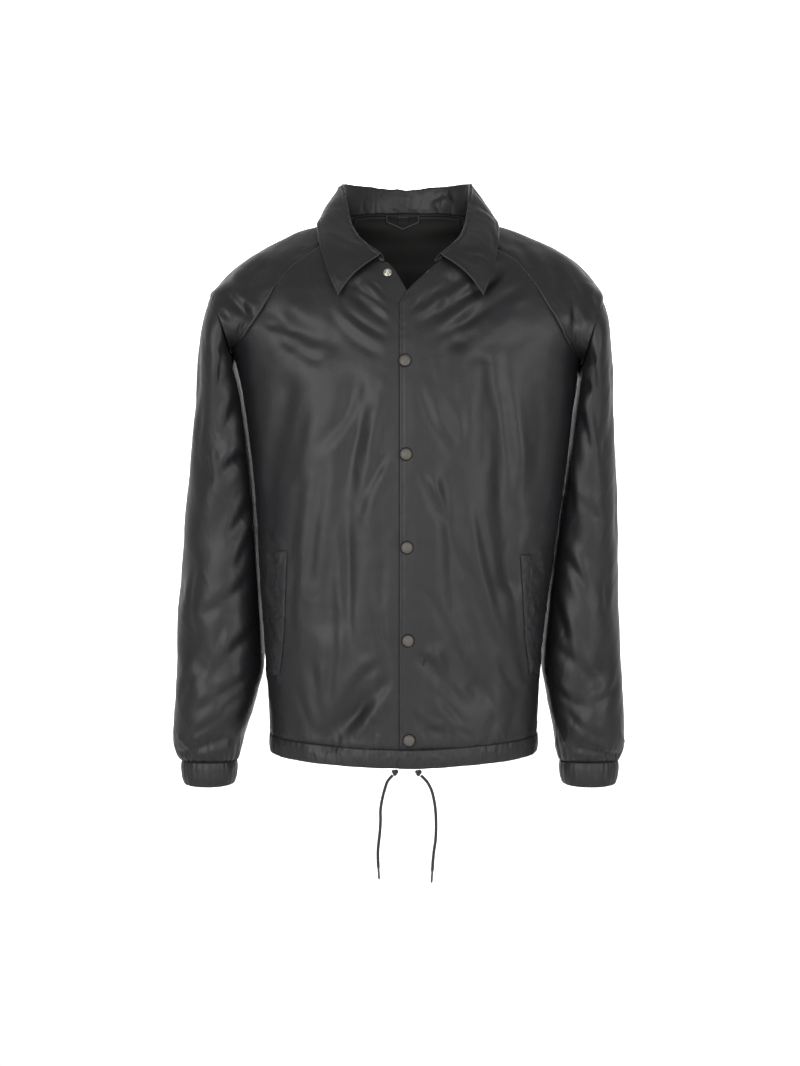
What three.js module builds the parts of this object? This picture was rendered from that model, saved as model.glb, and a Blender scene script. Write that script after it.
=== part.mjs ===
import * as THREE from "three";

// Coach jacket, filled out with no wearer inside it. Millimetres, +Z up, +X to the wearer's left,
// -Y to the front. The origin is in the middle of the neck, level with the tops of the shoulders.
// "right" and "left" in the names are the wearer's. A side is -1 for the right and 1 for the left.

// Cloth
const clothWall = 1.2;
const casingWall = 2.2;
const cuffWall = 2;
const collarWall = 1.4;
const liningWall = 1;
const patchWall = 0.8;
const seamGap = 0.5;
const layerGap = 0.5;

// Body
const sideTurn = 90;
const armpitHeight = { "-1": -178, 1: -193 };
const hemHeight = -694;
const hemFrontDip = 13;
const hemBackDip = 5;
const casingHeight = 25;
const casingPucker = 0.6;
const casingFullness = 0.8;
const casingProud = 0.4;
const casingLap = 3.7;
const overlapEdge = -8;
const underlapEdge = 24;
const overlapLift = clothWall + 0.9;
const overlapReach = 36;
const overlapEase = 24;

// Sleeve and cuff
const armholeHollow = 6;
const ringPower = 2.2;
const armholeOpen = 5;
const yokeHold = 8;
const sleeveClear = 3;
const sleeveShift = { out: 0.25, drop: 0.8 };
const cuffGathers = 26;
const gatherDepth = 1.2;

// Trims
const snapRadius = 7.8;
const snapHeight = 2.6;
const snapHeights = [-193, -311, -428, -545, -671];
const snapStart = -0.4;
const snapDrift = -0.0107;
const studRadius = 5.3;
const cordRadius = 2;
const tipRadius = 1.5;
const knotRadius = 4.4;
const trimGap = 0.5;
const cordGap = 0.3;

// Steps of the grids
const seamSteps = 8;
const armholeSteps = 18;
const frontSteps = 10;
const backSteps = 16;
const sideSteps = 12;
const sleeveSteps = 15;
const slantShare = 0.75;

const degree = Math.PI / 180;

const finishes = {
  nylon: { color: 0x3b3b3f, roughness: 0.55, metalness: 0 },
  lining: { color: 0x100f0d, roughness: 0.8, metalness: 0 },
  label: { color: 0x232322, roughness: 0.7, metalness: 0 },
  snap: { color: 0x5a544d, roughness: 0.5, metalness: 0.6 },
  nickel: { color: 0xb9b4aa, roughness: 0.3, metalness: 1 },
  cord: { color: 0x22211d, roughness: 0.9, metalness: 0 },
  tip: { color: 0x2b2a26, roughness: 0.4, metalness: 0 },
};

// Level cuts through body and shoulders, top to bottom. Above the armpit a cut holds the shoulder too.
const bodyRows = [
  { z: 30, midX: 3, halfWidth: 74, midY: 5, front: 6, back: 81, power: 2 },
  { z: 20, midX: 3, halfWidth: 85, midY: 5, front: 7, back: 87, power: 2 },
  { z: 8, midX: 3, halfWidth: 90, midY: 5, front: 9, back: 92, power: 2 },
  { z: -1, midX: 3, halfWidth: 119, midY: 4, front: 21, back: 97, power: 2 },
  { z: -7, midX: 2.5, halfWidth: 141, midY: 4, front: 35, back: 100, power: 2 },
  { z: -20, midX: 4, halfWidth: 170, midY: 4, front: 58, back: 105, power: 2 },
  { z: -33, midX: 6, halfWidth: 196, midY: 4, front: 75, back: 110, power: 2 },
  { z: -46, midX: 6, halfWidth: 216, midY: 3, front: 89, back: 114, power: 2.05 },
  { z: -62, midX: 5, halfWidth: 235, midY: 2, front: 100, back: 120, power: 2.1 },
  { z: -80, midX: 4, halfWidth: 249, midY: 0, front: 105, back: 127, power: 2.3 },
  { z: -100, midX: 2.5, halfWidth: 259.5, midY: -4, front: 107.5, back: 134, power: 2.6 },
  { z: -140, midX: 3, halfWidth: 249, midY: -12, front: 111, back: 146, power: 3 },
  { z: -178, midX: 3, halfWidth: 228, midY: -18, front: 113, back: 154, power: 2.9 },
  { z: -233, midX: 5.5, halfWidth: 217, midY: -22, front: 116, back: 160, power: 2.6 },
  { z: -300, midX: 5.8, halfWidth: 209, midY: -23, front: 118, back: 160, power: 2.45 },
  { z: -366, midX: 4.5, halfWidth: 201, midY: -23, front: 118, back: 154, power: 2.4 },
  { z: -500, midX: -1, halfWidth: 188, midY: -20, front: 116, back: 144, power: 2.4 },
  { z: -584, midX: -2.5, halfWidth: 181, midY: -18, front: 113, back: 138, power: 2.4 },
  { z: -665, midX: -2, halfWidth: 176, midY: -16, front: 111, back: 132, power: 2.4 },
  { z: -720, midX: -2, halfWidth: 175, midY: -15, front: 110, back: 129, power: 2.4 },
];

// Neck seam: height against the turn round the neck, 0 at the front and 180 at the back.
const neckRows = [
  { turn: 12, z: -66 },
  { turn: 18, z: -63 },
  { turn: 40, z: -42 },
  { turn: 65, z: -15 },
  { turn: 72, z: -7.5 },
  { turn: 80, z: -1.5 },
  { turn: 90, z: 7 },
  { turn: 100, z: 11.5 },
  { turn: 121, z: 20 },
  { turn: 150, z: 28 },
  { turn: 180, z: 30 },
];
const neckFrontTurn = 65;
const neckBackTurn = 121;

// Raglan seams from the neck to the armpit: distance from the middle, and height on each side.
const frontSeamRows = [
  { step: 0, out: 85, right: -15, left: -15 },
  { step: 1, out: 117, right: -36, left: -43 },
  { step: 2, out: 138, right: -53, left: -60 },
  { step: 3, out: 155, right: -72, left: -80 },
  { step: 4, out: 170, right: -94, left: -102 },
  { step: 5, out: 184, right: -118, left: -127 },
  { step: 6, out: 199, right: -142, left: -154 },
  { step: 7, out: 215, right: -163, left: -177 },
];
const backSeamRows = [
  { step: 0, out: 74, right: 20, left: 20 },
  { step: 1, out: 104, right: -9, left: -9 },
  { step: 2, out: 131, right: -31, left: -32 },
  { step: 3, out: 154, right: -56, left: -58 },
  { step: 4, out: 174, right: -84, left: -88 },
  { step: 5, out: 190, right: -112, left: -119 },
  { step: 6, out: 203, right: -138, left: -149 },
  { step: 7, out: 216, right: -162, left: -175 },
];

// Front edges: where the cloth ends, against height. Both fall open above the closed snaps.
const rightEdgeRows = [
  { z: -160, x: 24 },
  { z: -130, x: 17 },
  { z: -104, x: 4 },
  { z: -90, x: -4 },
  { z: -76, x: -12 },
  { z: -64, x: -22 },
];
const leftEdgeRows = [
  { z: -118, x: -8 },
  { z: -104, x: 1 },
  { z: -90, x: 14 },
  { z: -78, x: 27 },
  { z: -64, x: 42 },
];

// Sleeves, armhole to cuff: the outer and inner side of each cut, its middle and half depth.
const sleeveRows = {
  "-1": [
    { outX: -257, outZ: -100, inX: -228, inZ: -178, midY: -12, halfDepth: 88 },
    { outX: -264.5, outZ: -128, inX: -224, inZ: -203, midY: -10, halfDepth: 91 },
    { outX: -272, outZ: -172, inX: -214, inZ: -236, midY: -5, halfDepth: 92 },
    { outX: -276, outZ: -228, inX: -206, inZ: -276, midY: 2, halfDepth: 91 },
    { outX: -283, outZ: -290, inX: -200, inZ: -320, midY: 8, halfDepth: 89 },
    { outX: -289, outZ: -350, inX: -194, inZ: -366, midY: 12, halfDepth: 86 },
    { outX: -294.5, outZ: -412, inX: -190, inZ: -420, midY: 14, halfDepth: 82 },
    { outX: -300, outZ: -470, inX: -188, inZ: -474, midY: 14, halfDepth: 78 },
    { outX: -303, outZ: -526, inX: -187, inZ: -528, midY: 11, halfDepth: 73 },
    { outX: -303.5, outZ: -580, inX: -187.5, inZ: -580, midY: 7, halfDepth: 67 },
    { outX: -305, outZ: -622, inX: -196, inZ: -620, midY: 3, halfDepth: 62 },
    { outX: -307, outZ: -654, inX: -205, inZ: -652, midY: 1, halfDepth: 57 },
    { outX: -307.5, outZ: -680, inX: -213.5, inZ: -678, midY: -1, halfDepth: 51 },
    { outX: -304.5, outZ: -697, inX: -218, inZ: -696, midY: -3, halfDepth: 44 },
    { outX: -300, outZ: -705, inX: -220.5, inZ: -705, midY: -4, halfDepth: 38 },
    { outX: -296.5, outZ: -710, inX: -222.5, inZ: -710, midY: -4, halfDepth: 34 },
  ],
  1: [
    { outX: 261, outZ: -104, inX: 232, inZ: -193, midY: -12, halfDepth: 88 },
    { outX: 267, outZ: -130, inX: 229, inZ: -216, midY: -10, halfDepth: 91 },
    { outX: 271.5, outZ: -174, inX: 222, inZ: -246, midY: -5, halfDepth: 92 },
    { outX: 274.5, outZ: -230, inX: 216, inZ: -282, midY: 2, halfDepth: 91 },
    { outX: 278.5, outZ: -290, inX: 210, inZ: -322, midY: 8, halfDepth: 89 },
    { outX: 281, outZ: -350, inX: 203, inZ: -366, midY: 12, halfDepth: 86 },
    { outX: 283, outZ: -412, inX: 196, inZ: -420, midY: 14, halfDepth: 82 },
    { outX: 284.5, outZ: -470, inX: 190, inZ: -474, midY: 14, halfDepth: 78 },
    { outX: 286, outZ: -526, inX: 184, inZ: -528, midY: 11, halfDepth: 73 },
    { outX: 287, outZ: -580, inX: 181, inZ: -580, midY: 7, halfDepth: 67 },
    { outX: 289, outZ: -622, inX: 187, inZ: -620, midY: 3, halfDepth: 62 },
    { outX: 290.5, outZ: -654, inX: 193, inZ: -652, midY: 1, halfDepth: 57 },
    { outX: 291, outZ: -680, inX: 198, inZ: -678, midY: -1, halfDepth: 51 },
    { outX: 288.5, outZ: -697, inX: 201, inZ: -696, midY: -3, halfDepth: 44 },
    { outX: 285.5, outZ: -705, inX: 203, inZ: -705, midY: -4, halfDepth: 38 },
    { outX: 283, outZ: -710, inX: 205, inZ: -710, midY: -4, halfDepth: 34 },
  ],
};
const cuffRows = [
  { drop: 0.9, grow: 0, lean: 0 },
  { drop: 9, grow: 1.2, lean: 0.3 },
  { drop: 19, grow: 0.8, lean: 0.8 },
  { drop: 28, grow: -1.5, lean: 1 },
];
const cuffFrontDip = 4;

// Folded collar: the crest of the fold and the free edge of the fall, against the turn round the neck.
const collarRows = [
  { turn: 18, midX: 6.9, crest: 38, crestY: -102, crestZ: -56, edge: 92, edgeY: -122, edgeZ: -110 },
  { turn: 30, midX: 6.2, crest: 53, crestY: -93, crestZ: -44, edge: 103, edgeY: -112, edgeZ: -84 },
  { turn: 45, midX: 5.3, crest: 67, crestY: -73, crestZ: -28, edge: 112, edgeY: -88, edgeZ: -52 },
  { turn: 60, midX: 4.4, crest: 76, crestY: -47, crestZ: -6, edge: 118, edgeY: -56, edgeZ: -24 },
  { turn: 75, midX: 3.4, crest: 81, crestY: -21, crestZ: 19, edge: 120, edgeY: -20, edgeZ: -1 },
  { turn: 90, midX: 2.8, crest: 84.5, crestY: 5, crestZ: 42, edge: 118, edgeY: 12, edgeZ: 5 },
  { turn: 110, midX: 2, crest: 87, crestY: 36, crestZ: 60, edge: 110, edgeY: 50, edgeZ: 7 },
  { turn: 135, midX: 1.6, crest: 63, crestY: 67, crestZ: 63, edge: 83, edgeY: 90, edgeZ: 3 },
  { turn: 160, midX: 1.5, crest: 30, crestY: 82, crestZ: 61.5, edge: 39, edgeY: 107, edgeZ: -3 },
  { turn: 180, midX: 1.5, crest: 0, crestY: 86, crestZ: 59.5, edge: 0, edgeY: 112, edgeZ: -5 },
];
const collarFirstTurn = 18;
const collarStations = 34;
const collarRise = 1.8;
const collarInset = 0.3;
const foldRadius = 2.2;
const fallRoll = 6;

// Main folds as soft troughs on the front and the back, each from one end to the other.
const bodyFolds = [
  { face: 1, x1: -176, z1: -128, x2: -96, z2: -168, width: 20, depth: 4 },
  { face: 1, x1: -62, z1: -95, x2: -20, z2: -150, width: 10, depth: 4 },
  { face: 1, x1: -150, z1: -230, x2: -176, z2: -400, width: 18, depth: 5 },
  { face: 1, x1: -62, z1: -230, x2: -92, z2: -520, width: 20, depth: 5 },
  { face: 1, x1: -20, z1: -590, x2: -98, z2: -672, width: 17, depth: 8 },
  { face: 1, x1: 118, z1: -72, x2: 70, z2: -165, width: 13, depth: 5 },
  { face: 1, x1: 60, z1: -90, x2: 20, z2: -170, width: 10, depth: 4 },
  { face: 1, x1: 112, z1: -195, x2: 132, z2: -470, width: 16, depth: 8 },
  { face: 1, x1: 40, z1: -350, x2: 96, z2: -600, width: 18, depth: 5 },
  { face: 1, x1: 34, z1: -560, x2: 92, z2: -618, width: 14, depth: 5 },
  { face: -1, x1: -150, z1: -170, x2: -60, z2: -265, width: 24, depth: 5 },
  { face: -1, x1: 150, z1: -180, x2: 70, z2: -290, width: 24, depth: 5 },
  { face: -1, x1: -90, z1: -320, x2: -120, z2: -640, width: 22, depth: 7 },
  { face: -1, x1: 30, z1: -300, x2: 20, z2: -560, width: 24, depth: 5 },
  { face: -1, x1: 112, z1: -380, x2: 96, z2: -655, width: 20, depth: 7 },
];

// Sleeve folds by turn round the sleeve (0 inside, 90 front, 180 outside) and place down it, 0 to 1.
const sleeveFolds = [
  { side: -1, turn1: 60, down1: 0.14, turn2: 120, down2: 0.3, width: 0.035, depth: 6 },
  { side: -1, turn1: 70, down1: 0.36, turn2: 150, down2: 0.47, width: 0.035, depth: 5 },
  { side: -1, turn1: 130, down1: 0.56, turn2: 60, down2: 0.68, width: 0.03, depth: 5 },
  { side: -1, turn1: 60, down1: 0.8, turn2: 140, down2: 0.88, width: 0.025, depth: 5 },
  { side: -1, turn1: 300, down1: 0.3, turn2: 220, down2: 0.42, width: 0.035, depth: 6 },
  { side: -1, turn1: 230, down1: 0.62, turn2: 300, down2: 0.72, width: 0.03, depth: 5 },
  { side: 1, turn1: 55, down1: 0.12, turn2: 120, down2: 0.26, width: 0.035, depth: 6 },
  { side: 1, turn1: 60, down1: 0.4, turn2: 140, down2: 0.5, width: 0.035, depth: 5 },
  { side: 1, turn1: 120, down1: 0.6, turn2: 60, down2: 0.72, width: 0.03, depth: 5 },
  { side: 1, turn1: 70, down1: 0.84, turn2: 140, down2: 0.9, width: 0.025, depth: 4 },
  { side: 1, turn1: 310, down1: 0.26, turn2: 230, down2: 0.4, width: 0.035, depth: 6 },
  { side: 1, turn1: 230, down1: 0.6, turn2: 300, down2: 0.7, width: 0.03, depth: 5 },
];

// Pocket welts: middle of the upper and lower end.
const weltWidth = 16;
const weltGap = 1.5;
const weltRows = {
  "-1": { topX: -157, topZ: -432, lowX: -169, lowZ: -592 },
  1: { topX: 153, topZ: -437, lowX: 168, lowZ: -592 },
};

// Drawcord ends as they hang from the casing.
const cordRoutes = {
  right: [
    { x: -22.4, y: -128.5, z: -722.5 },
    { x: -26.2, y: -128.5, z: -733.3 },
    { x: -29.3, y: -128, z: -745.9 },
    { x: -31.2, y: -127.5, z: -758.5 },
    { x: -31.2, y: -127, z: -771.1 },
    { x: -31.8, y: -126.5, z: -783.7 },
    { x: -33.1, y: -126.5, z: -796.3 },
    { x: -34.4, y: -126.5, z: -808.9 },
    { x: -34.4, y: -126.5, z: -821.5 },
    { x: -33.9, y: -126.5, z: -831 },
  ],
  left: [
    { x: 27.4, y: -130, z: -722.7 },
    { x: 33, y: -130, z: -733.3 },
    { x: 36.2, y: -129.5, z: -745.9 },
    { x: 38, y: -129, z: -758.5 },
    { x: 38.7, y: -128.5, z: -771.1 },
    { x: 38.7, y: -128, z: -783.7 },
    { x: 38.1, y: -128, z: -796.3 },
    { x: 36.2, y: -128, z: -808.9 },
    { x: 34.9, y: -128, z: -821.5 },
    { x: 34, y: -128, z: -835 },
  ],
};
const knotPlaces = {
  right: { x: -13, y: -126, z: -711.3 },
  left: { x: 16.5, y: -129, z: -711.3 },
};
const tipLength = 15;

const jacket = new THREE.Group();

function addPiece(name, geometry, finish) {
  const piece = new THREE.Mesh(geometry, new THREE.MeshStandardMaterial(finishes[finish]));
  piece.name = name;
  jacket.add(piece);
  return piece;
}

const mix = (a, b, t) => a + (b - a) * t;

function ease(t) {
  const s = Math.min(Math.max(t, 0), 1);
  return s * s * (3 - 2 * s);
}

// A column of a table as a smooth curve of its key: cubic steps with slopes that never overshoot.
function readTable(rows, key, column, at) {
  const climbs = rows[rows.length - 1][key] > rows[0][key] ? rows : [...rows].reverse();
  const last = climbs.length - 1;
  const place = Math.min(Math.max(at, climbs[0][key]), climbs[last][key]);
  let i = 0;
  while (i < last - 1 && climbs[i + 1][key] < place) i += 1;
  const step = (n) => climbs[n + 1][key] - climbs[n][key];
  const rise = (n) => (climbs[n + 1][column] - climbs[n][column]) / step(n);
  const slope = (n) => {
    if (n === 0) return rise(0);
    if (n === last) return rise(last - 1);
    const before = rise(n - 1);
    const after = rise(n);
    return before * after > 0 ? (2 * before * after) / (before + after) : 0;
  };
  const t = (place - climbs[i][key]) / step(i);
  const across = step(i);
  return (
    climbs[i][column] * (2 * t ** 3 - 3 * t ** 2 + 1) +
    slope(i) * across * (t ** 3 - 2 * t ** 2 + t) +
    climbs[i + 1][column] * (3 * t ** 2 - 2 * t ** 3) +
    slope(i + 1) * across * (t ** 3 - t ** 2)
  );
}

function bodySize(z) {
  const size = {};
  for (const column of ["midX", "halfWidth", "midY", "front", "back", "power"]) {
    size[column] = readTable(bodyRows, "z", column, z);
  }
  return size;
}

// A point of the body: on the level cut at z, at a turn from the front middle towards the left side.
function bodyPoint(turn, z) {
  const size = bodySize(z);
  const across = Math.sin(turn * degree);
  const forward = Math.cos(turn * degree);
  const depth = forward > 0 ? size.front : size.back;
  const sum = Math.abs(across / size.halfWidth) ** size.power + Math.abs(forward / depth) ** size.power;
  const reach = sum ** (-1 / size.power);
  return new THREE.Vector3(size.midX + reach * across, size.midY - reach * forward, z);
}

function bodyNormal(turn, z) {
  const small = 0.5;
  const round = bodyPoint(turn + small, z).sub(bodyPoint(turn - small, z));
  const up = bodyPoint(turn, z + small).sub(bodyPoint(turn, z - small));
  return round.cross(up).normalize();
}

// The turn at which the level cut at z passes a given x, on the front (face 1) or the back (face -1).
function turnAt(x, z, face) {
  const size = bodySize(z);
  const share = Math.min(Math.abs((x - size.midX) / size.halfWidth), 1);
  const depth = (face > 0 ? size.front : size.back) * (1 - share ** size.power) ** (1 / size.power);
  return Math.atan2(x - size.midX, face * depth) / degree;
}

// Depth of one soft trough at a place: deepest on its line, fading across it and at both ends.
function trough(u, v, u1, v1, u2, v2, width) {
  const du = u2 - u1;
  const dv = v2 - v1;
  const along = Math.min(Math.max(((u - u1) * du + (v - v1) * dv) / (du * du + dv * dv), 0), 1);
  const away = Math.hypot(u - u1 - du * along, v - v1 - dv * along);
  return Math.exp(-((away / width) ** 2));
}

function bodyFold(turn, z) {
  const forward = Math.cos(turn * degree);
  const place = bodyPoint(turn, z);
  const clearOfPlacket = forward > 0 ? ease((Math.abs(place.x) - overlapReach) / overlapEase) : 1;
  let depth = 0;
  for (const fold of bodyFolds) {
    if (fold.face * forward <= 0) continue;
    const away = trough(place.x, z, fold.x1, fold.z1, fold.x2, fold.z2, fold.width);
    depth += fold.depth * away * ease(Math.abs(forward) / 0.25);
  }
  return depth * clearOfPlacket;
}

// The cloth's outer face: the body with its folds, moved out by a lift.
function clothPoint(turn, z, lift) {
  const point = bodyPoint(turn, z);
  return point.addScaledVector(bodyNormal(turn, z), lift - bodyFold(turn, z));
}

// The neck seam is straight between the collar's stations, so that the pieces meet along it.
function neckHeight(turn) {
  const round = Math.abs(turn) > 180 ? 360 - Math.abs(turn) : Math.abs(turn);
  const step = (180 - collarFirstTurn) / (collarStations / 2);
  const place = Math.max((round - collarFirstTurn) / step, 0);
  const lower = Math.floor(place);
  const seamAt = (n) => readTable(neckRows, "turn", "z", collarFirstTurn + n * step);
  if (place === 0) return readTable(neckRows, "turn", "z", round);
  return mix(seamAt(lower), seamAt(lower + 1), place - lower);
}

function hemLine(turn) {
  const forward = Math.cos(turn * degree);
  return hemHeight - (forward > 0 ? hemFrontDip : hemBackDip) * Math.abs(forward);
}

// Whether a slanting cell of a grid is better cut along its other, clearly shorter diagonal.
const isSlanting = (a, b, c, d) => b.distanceTo(d) < slantShare * a.distanceTo(c);

// A closed wall from two grids of points, the outer and the inner face, open at its edges.
function wall(outer, inner, round) {
  const columns = outer.length;
  const rows = outer[0].length;
  const low = rows - 1;
  const points = [...outer.flat(), ...inner.flat()];
  const under = columns * rows;
  const index = [];
  const quad = (a, b, c, d) => index.push(a, b, c, a, c, d);
  const at = (i, j) => (i % columns) * rows + j;
  const lastColumn = round ? columns : columns - 1;
  for (let i = 0; i < lastColumn; i += 1) {
    for (let j = 0; j < rows - 1; j += 1) {
      const [a, b, c, d] = [at(i, j), at(i, j + 1), at(i + 1, j + 1), at(i + 1, j)];
      if (isSlanting(points[a], points[b], points[c], points[d])) {
        quad(b, c, d, a);
        quad(under + b, under + a, under + d, under + c);
      } else {
        quad(a, b, c, d);
        quad(under + a, under + d, under + c, under + b);
      }
    }
    quad(at(i, 0), at(i + 1, 0), under + at(i + 1, 0), under + at(i, 0));
    quad(at(i, low), under + at(i, low), under + at(i + 1, low), at(i + 1, low));
  }
  if (!round) {
    const end = columns - 1;
    for (let j = 0; j < rows - 1; j += 1) {
      quad(at(0, j), under + at(0, j), under + at(0, j + 1), at(0, j + 1));
      quad(at(end, j), at(end, j + 1), under + at(end, j + 1), under + at(end, j));
    }
  }
  let volume = 0;
  for (let i = 0; i < index.length; i += 3) {
    const [a, b, c] = [points[index[i]], points[index[i + 1]], points[index[i + 2]]];
    volume += a.dot(new THREE.Vector3().crossVectors(b, c));
  }
  if (volume < 0) index.reverse();
  const geometry = new THREE.BufferGeometry().setFromPoints(points);
  geometry.setIndex(index);
  geometry.computeVertexNormals();
  return geometry;
}

function grid(columns, rows, place) {
  const made = [];
  for (let i = 0; i <= columns; i += 1) {
    made.push([]);
    for (let j = 0; j <= rows; j += 1) made[i].push(place(i / columns, j / rows));
  }
  return made;
}

// Moves the outer columns and rows of a grid of points inwards, so that neighbours part at the seam.
function partEdges(points, gap) {
  const lastI = points.length - 1;
  const lastJ = points[0].length - 1;
  const pull = (edge, inside) => {
    const way = inside.clone().sub(edge);
    return edge.clone().addScaledVector(way.normalize(), gap);
  };
  const moved = points.map((line) => line.map((point) => point.clone()));
  for (let j = 0; j <= lastJ; j += 1) {
    moved[0][j] = pull(moved[0][j], moved[1][j]);
    moved[lastI][j] = pull(moved[lastI][j], moved[lastI - 1][j]);
  }
  for (let i = 0; i <= lastI; i += 1) {
    moved[i][0] = pull(moved[i][0], moved[i][1]);
    moved[i][lastJ] = pull(moved[i][lastJ], moved[i][lastJ - 1]);
  }
  return moved;
}

// A patch of the body between four edges, each a list of turn and height: every inner place is the
// blend of the edges above and below it, moved by what the two side edges bulge there. The hold says
// how soon a side edge's bulge fades: 1 evenly across the patch, more where it stays near the edge.
function patchBetween(top, low, first, last, hold) {
  return (u, v) => {
    const place = {};
    for (const part of ["turn", "z"]) {
      const bulge = (side, end) => side(v)[part] - mix(top(end)[part], low(end)[part], v);
      place[part] =
        mix(top(u)[part], low(u)[part], v) +
        (1 - u) ** hold * bulge(first, 0) +
        u ** hold * bulge(last, 1);
    }
    return place;
  };
}

// Raglan seam from neck (0) to armpit (1), on the front (face 1) or back (face -1) of one side.
function raglan(side, face, down) {
  const rows = face > 0 ? frontSeamRows : backSeamRows;
  const step = down * seamSteps;
  if (step >= rows.length) return { turn: side * sideTurn, z: armpitHeight[side] };
  const lower = Math.floor(step);
  const t = step - lower;
  const here = seamPlace(rows[lower], side, face);
  if (t === 0) return here;
  const next =
    lower + 1 < rows.length
      ? seamPlace(rows[lower + 1], side, face)
      : { turn: side * sideTurn, z: armpitHeight[side] };
  return { turn: mix(here.turn, next.turn, t), z: mix(here.z, next.z, t) };
}

function seamPlace(row, side, face) {
  const z = side < 0 ? row.right : row.left;
  return { turn: turnAt(bodySize(z).midX + side * row.out, z, face), z };
}

// The side of a front or back panel: down the raglan seam, then down the side seam to the casing.
const raglanShare = seamSteps / (seamSteps + sideSteps);
function panelSide(side, face, down) {
  if (down <= raglanShare) return raglan(side, face, down / raglanShare);
  const low = hemLine(side * sideTurn) + casingHeight;
  const t = (down - raglanShare) / (1 - raglanShare);
  return { turn: side * sideTurn, z: mix(armpitHeight[side], low, t) };
}

// Distance of the cloth over the body's surface: the left front laps over the right one.
function lapLift(side, x) {
  return side > 0 ? overlapLift * (1 - ease((x - overlapReach) / overlapEase)) : 0;
}

function edgeX(side, z) {
  if (side < 0) return z < -160 ? underlapEdge : readTable(rightEdgeRows, "z", "x", z);
  return z < -118 ? overlapEdge : readTable(leftEdgeRows, "z", "x", z);
}

function frontPoint(side, turn, z, lift) {
  return clothPoint(turn, z, lift + lapLift(side, bodyPoint(turn, z).x));
}

function frontFaces(side) {
  const cornerZ = -64;
  const cornerTurn = turnAt(edgeX(side, cornerZ), cornerZ, 1);
  const chestZ = -205;
  const top = (u) => {
    const turn = mix(cornerTurn, side * neckFrontTurn, u);
    return { turn, z: u === 0 ? cornerZ : neckHeight(turn) };
  };
  const edge = (v) => {
    const low = hemLine(0) + casingHeight;
    const z =
      v < raglanShare
        ? mix(cornerZ, chestZ, v / raglanShare)
        : mix(chestZ, low, (v - raglanShare) / (1 - raglanShare));
    return { turn: turnAt(edgeX(side, z), z, 1), z };
  };
  const low = (u) => {
    const turn = mix(edge(1).turn, side * sideTurn, u);
    return { turn, z: hemLine(turn) + casingHeight };
  };
  const place = patchBetween(top, low, edge, (v) => panelSide(side, 1, v), 1);
  const rows = seamSteps + sideSteps;
  const outer = grid(frontSteps, rows, (u, v) => {
    const { turn, z } = place(u, v);
    return frontPoint(side, turn, z, 0);
  });
  const inner = grid(frontSteps, rows, (u, v) => {
    const { turn, z } = place(u, v);
    return frontPoint(side, turn, z, -clothWall);
  });
  return [partEdges(outer, seamGap / 2), partEdges(inner, seamGap / 2)];
}

// The back and right side run on past 180 degrees.
const pastBack = ({ turn, z }) => ({ turn: turn < 0 ? turn + 360 : turn, z });

function backPlace() {
  const top = (u) => {
    const turn = mix(neckBackTurn, 360 - neckBackTurn, u);
    return { turn, z: neckHeight(turn) };
  };
  const low = (u) => {
    const turn = mix(sideTurn, 360 - sideTurn, u);
    return { turn, z: hemLine(turn) + casingHeight };
  };
  const first = (v) => pastBack(panelSide(1, -1, v));
  const last = (v) => pastBack(panelSide(-1, -1, v));
  return patchBetween(top, low, first, last, 1);
}

function backFace(lift) {
  const place = backPlace();
  return grid(backSteps, seamSteps + sideSteps, (u, v) => {
    const { turn, z } = place(u, v);
    return clothPoint(turn, z, lift);
  });
}

function makeBack() {
  const outer = partEdges(backFace(0), seamGap / 2);
  return wall(outer, partEdges(backFace(-clothWall), seamGap / 2), false);
}

// Rounded ring through four sides: turn 0 at its inner end, 90 to the front, 180 at its outer end.
function ringPoint(row, turn, power) {
  const across = Math.cos(turn * degree);
  const forward = Math.sin(turn * degree);
  const sum = Math.abs(across) ** power + Math.abs(forward) ** power;
  const reach = sum ** (-1 / power);
  const share = (1 - reach * across) / 2;
  return new THREE.Vector3(
    mix(row.inX, row.outX, share),
    row.midY - reach * forward * row.halfDepth,
    mix(row.inZ, row.outZ, share),
  );
}

function armholePoint(side, turn) {
  const point = ringPoint(sleeveRows[side][0], turn, ringPower);
  point.x -= side * armholeHollow * Math.sin(turn * degree) ** 2;
  return point;
}

function armholeOut(side, turn) {
  const middle = armholePoint(side, 0).add(armholePoint(side, 180)).multiplyScalar(0.5);
  return armholePoint(side, turn).sub(middle).normalize();
}

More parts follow.
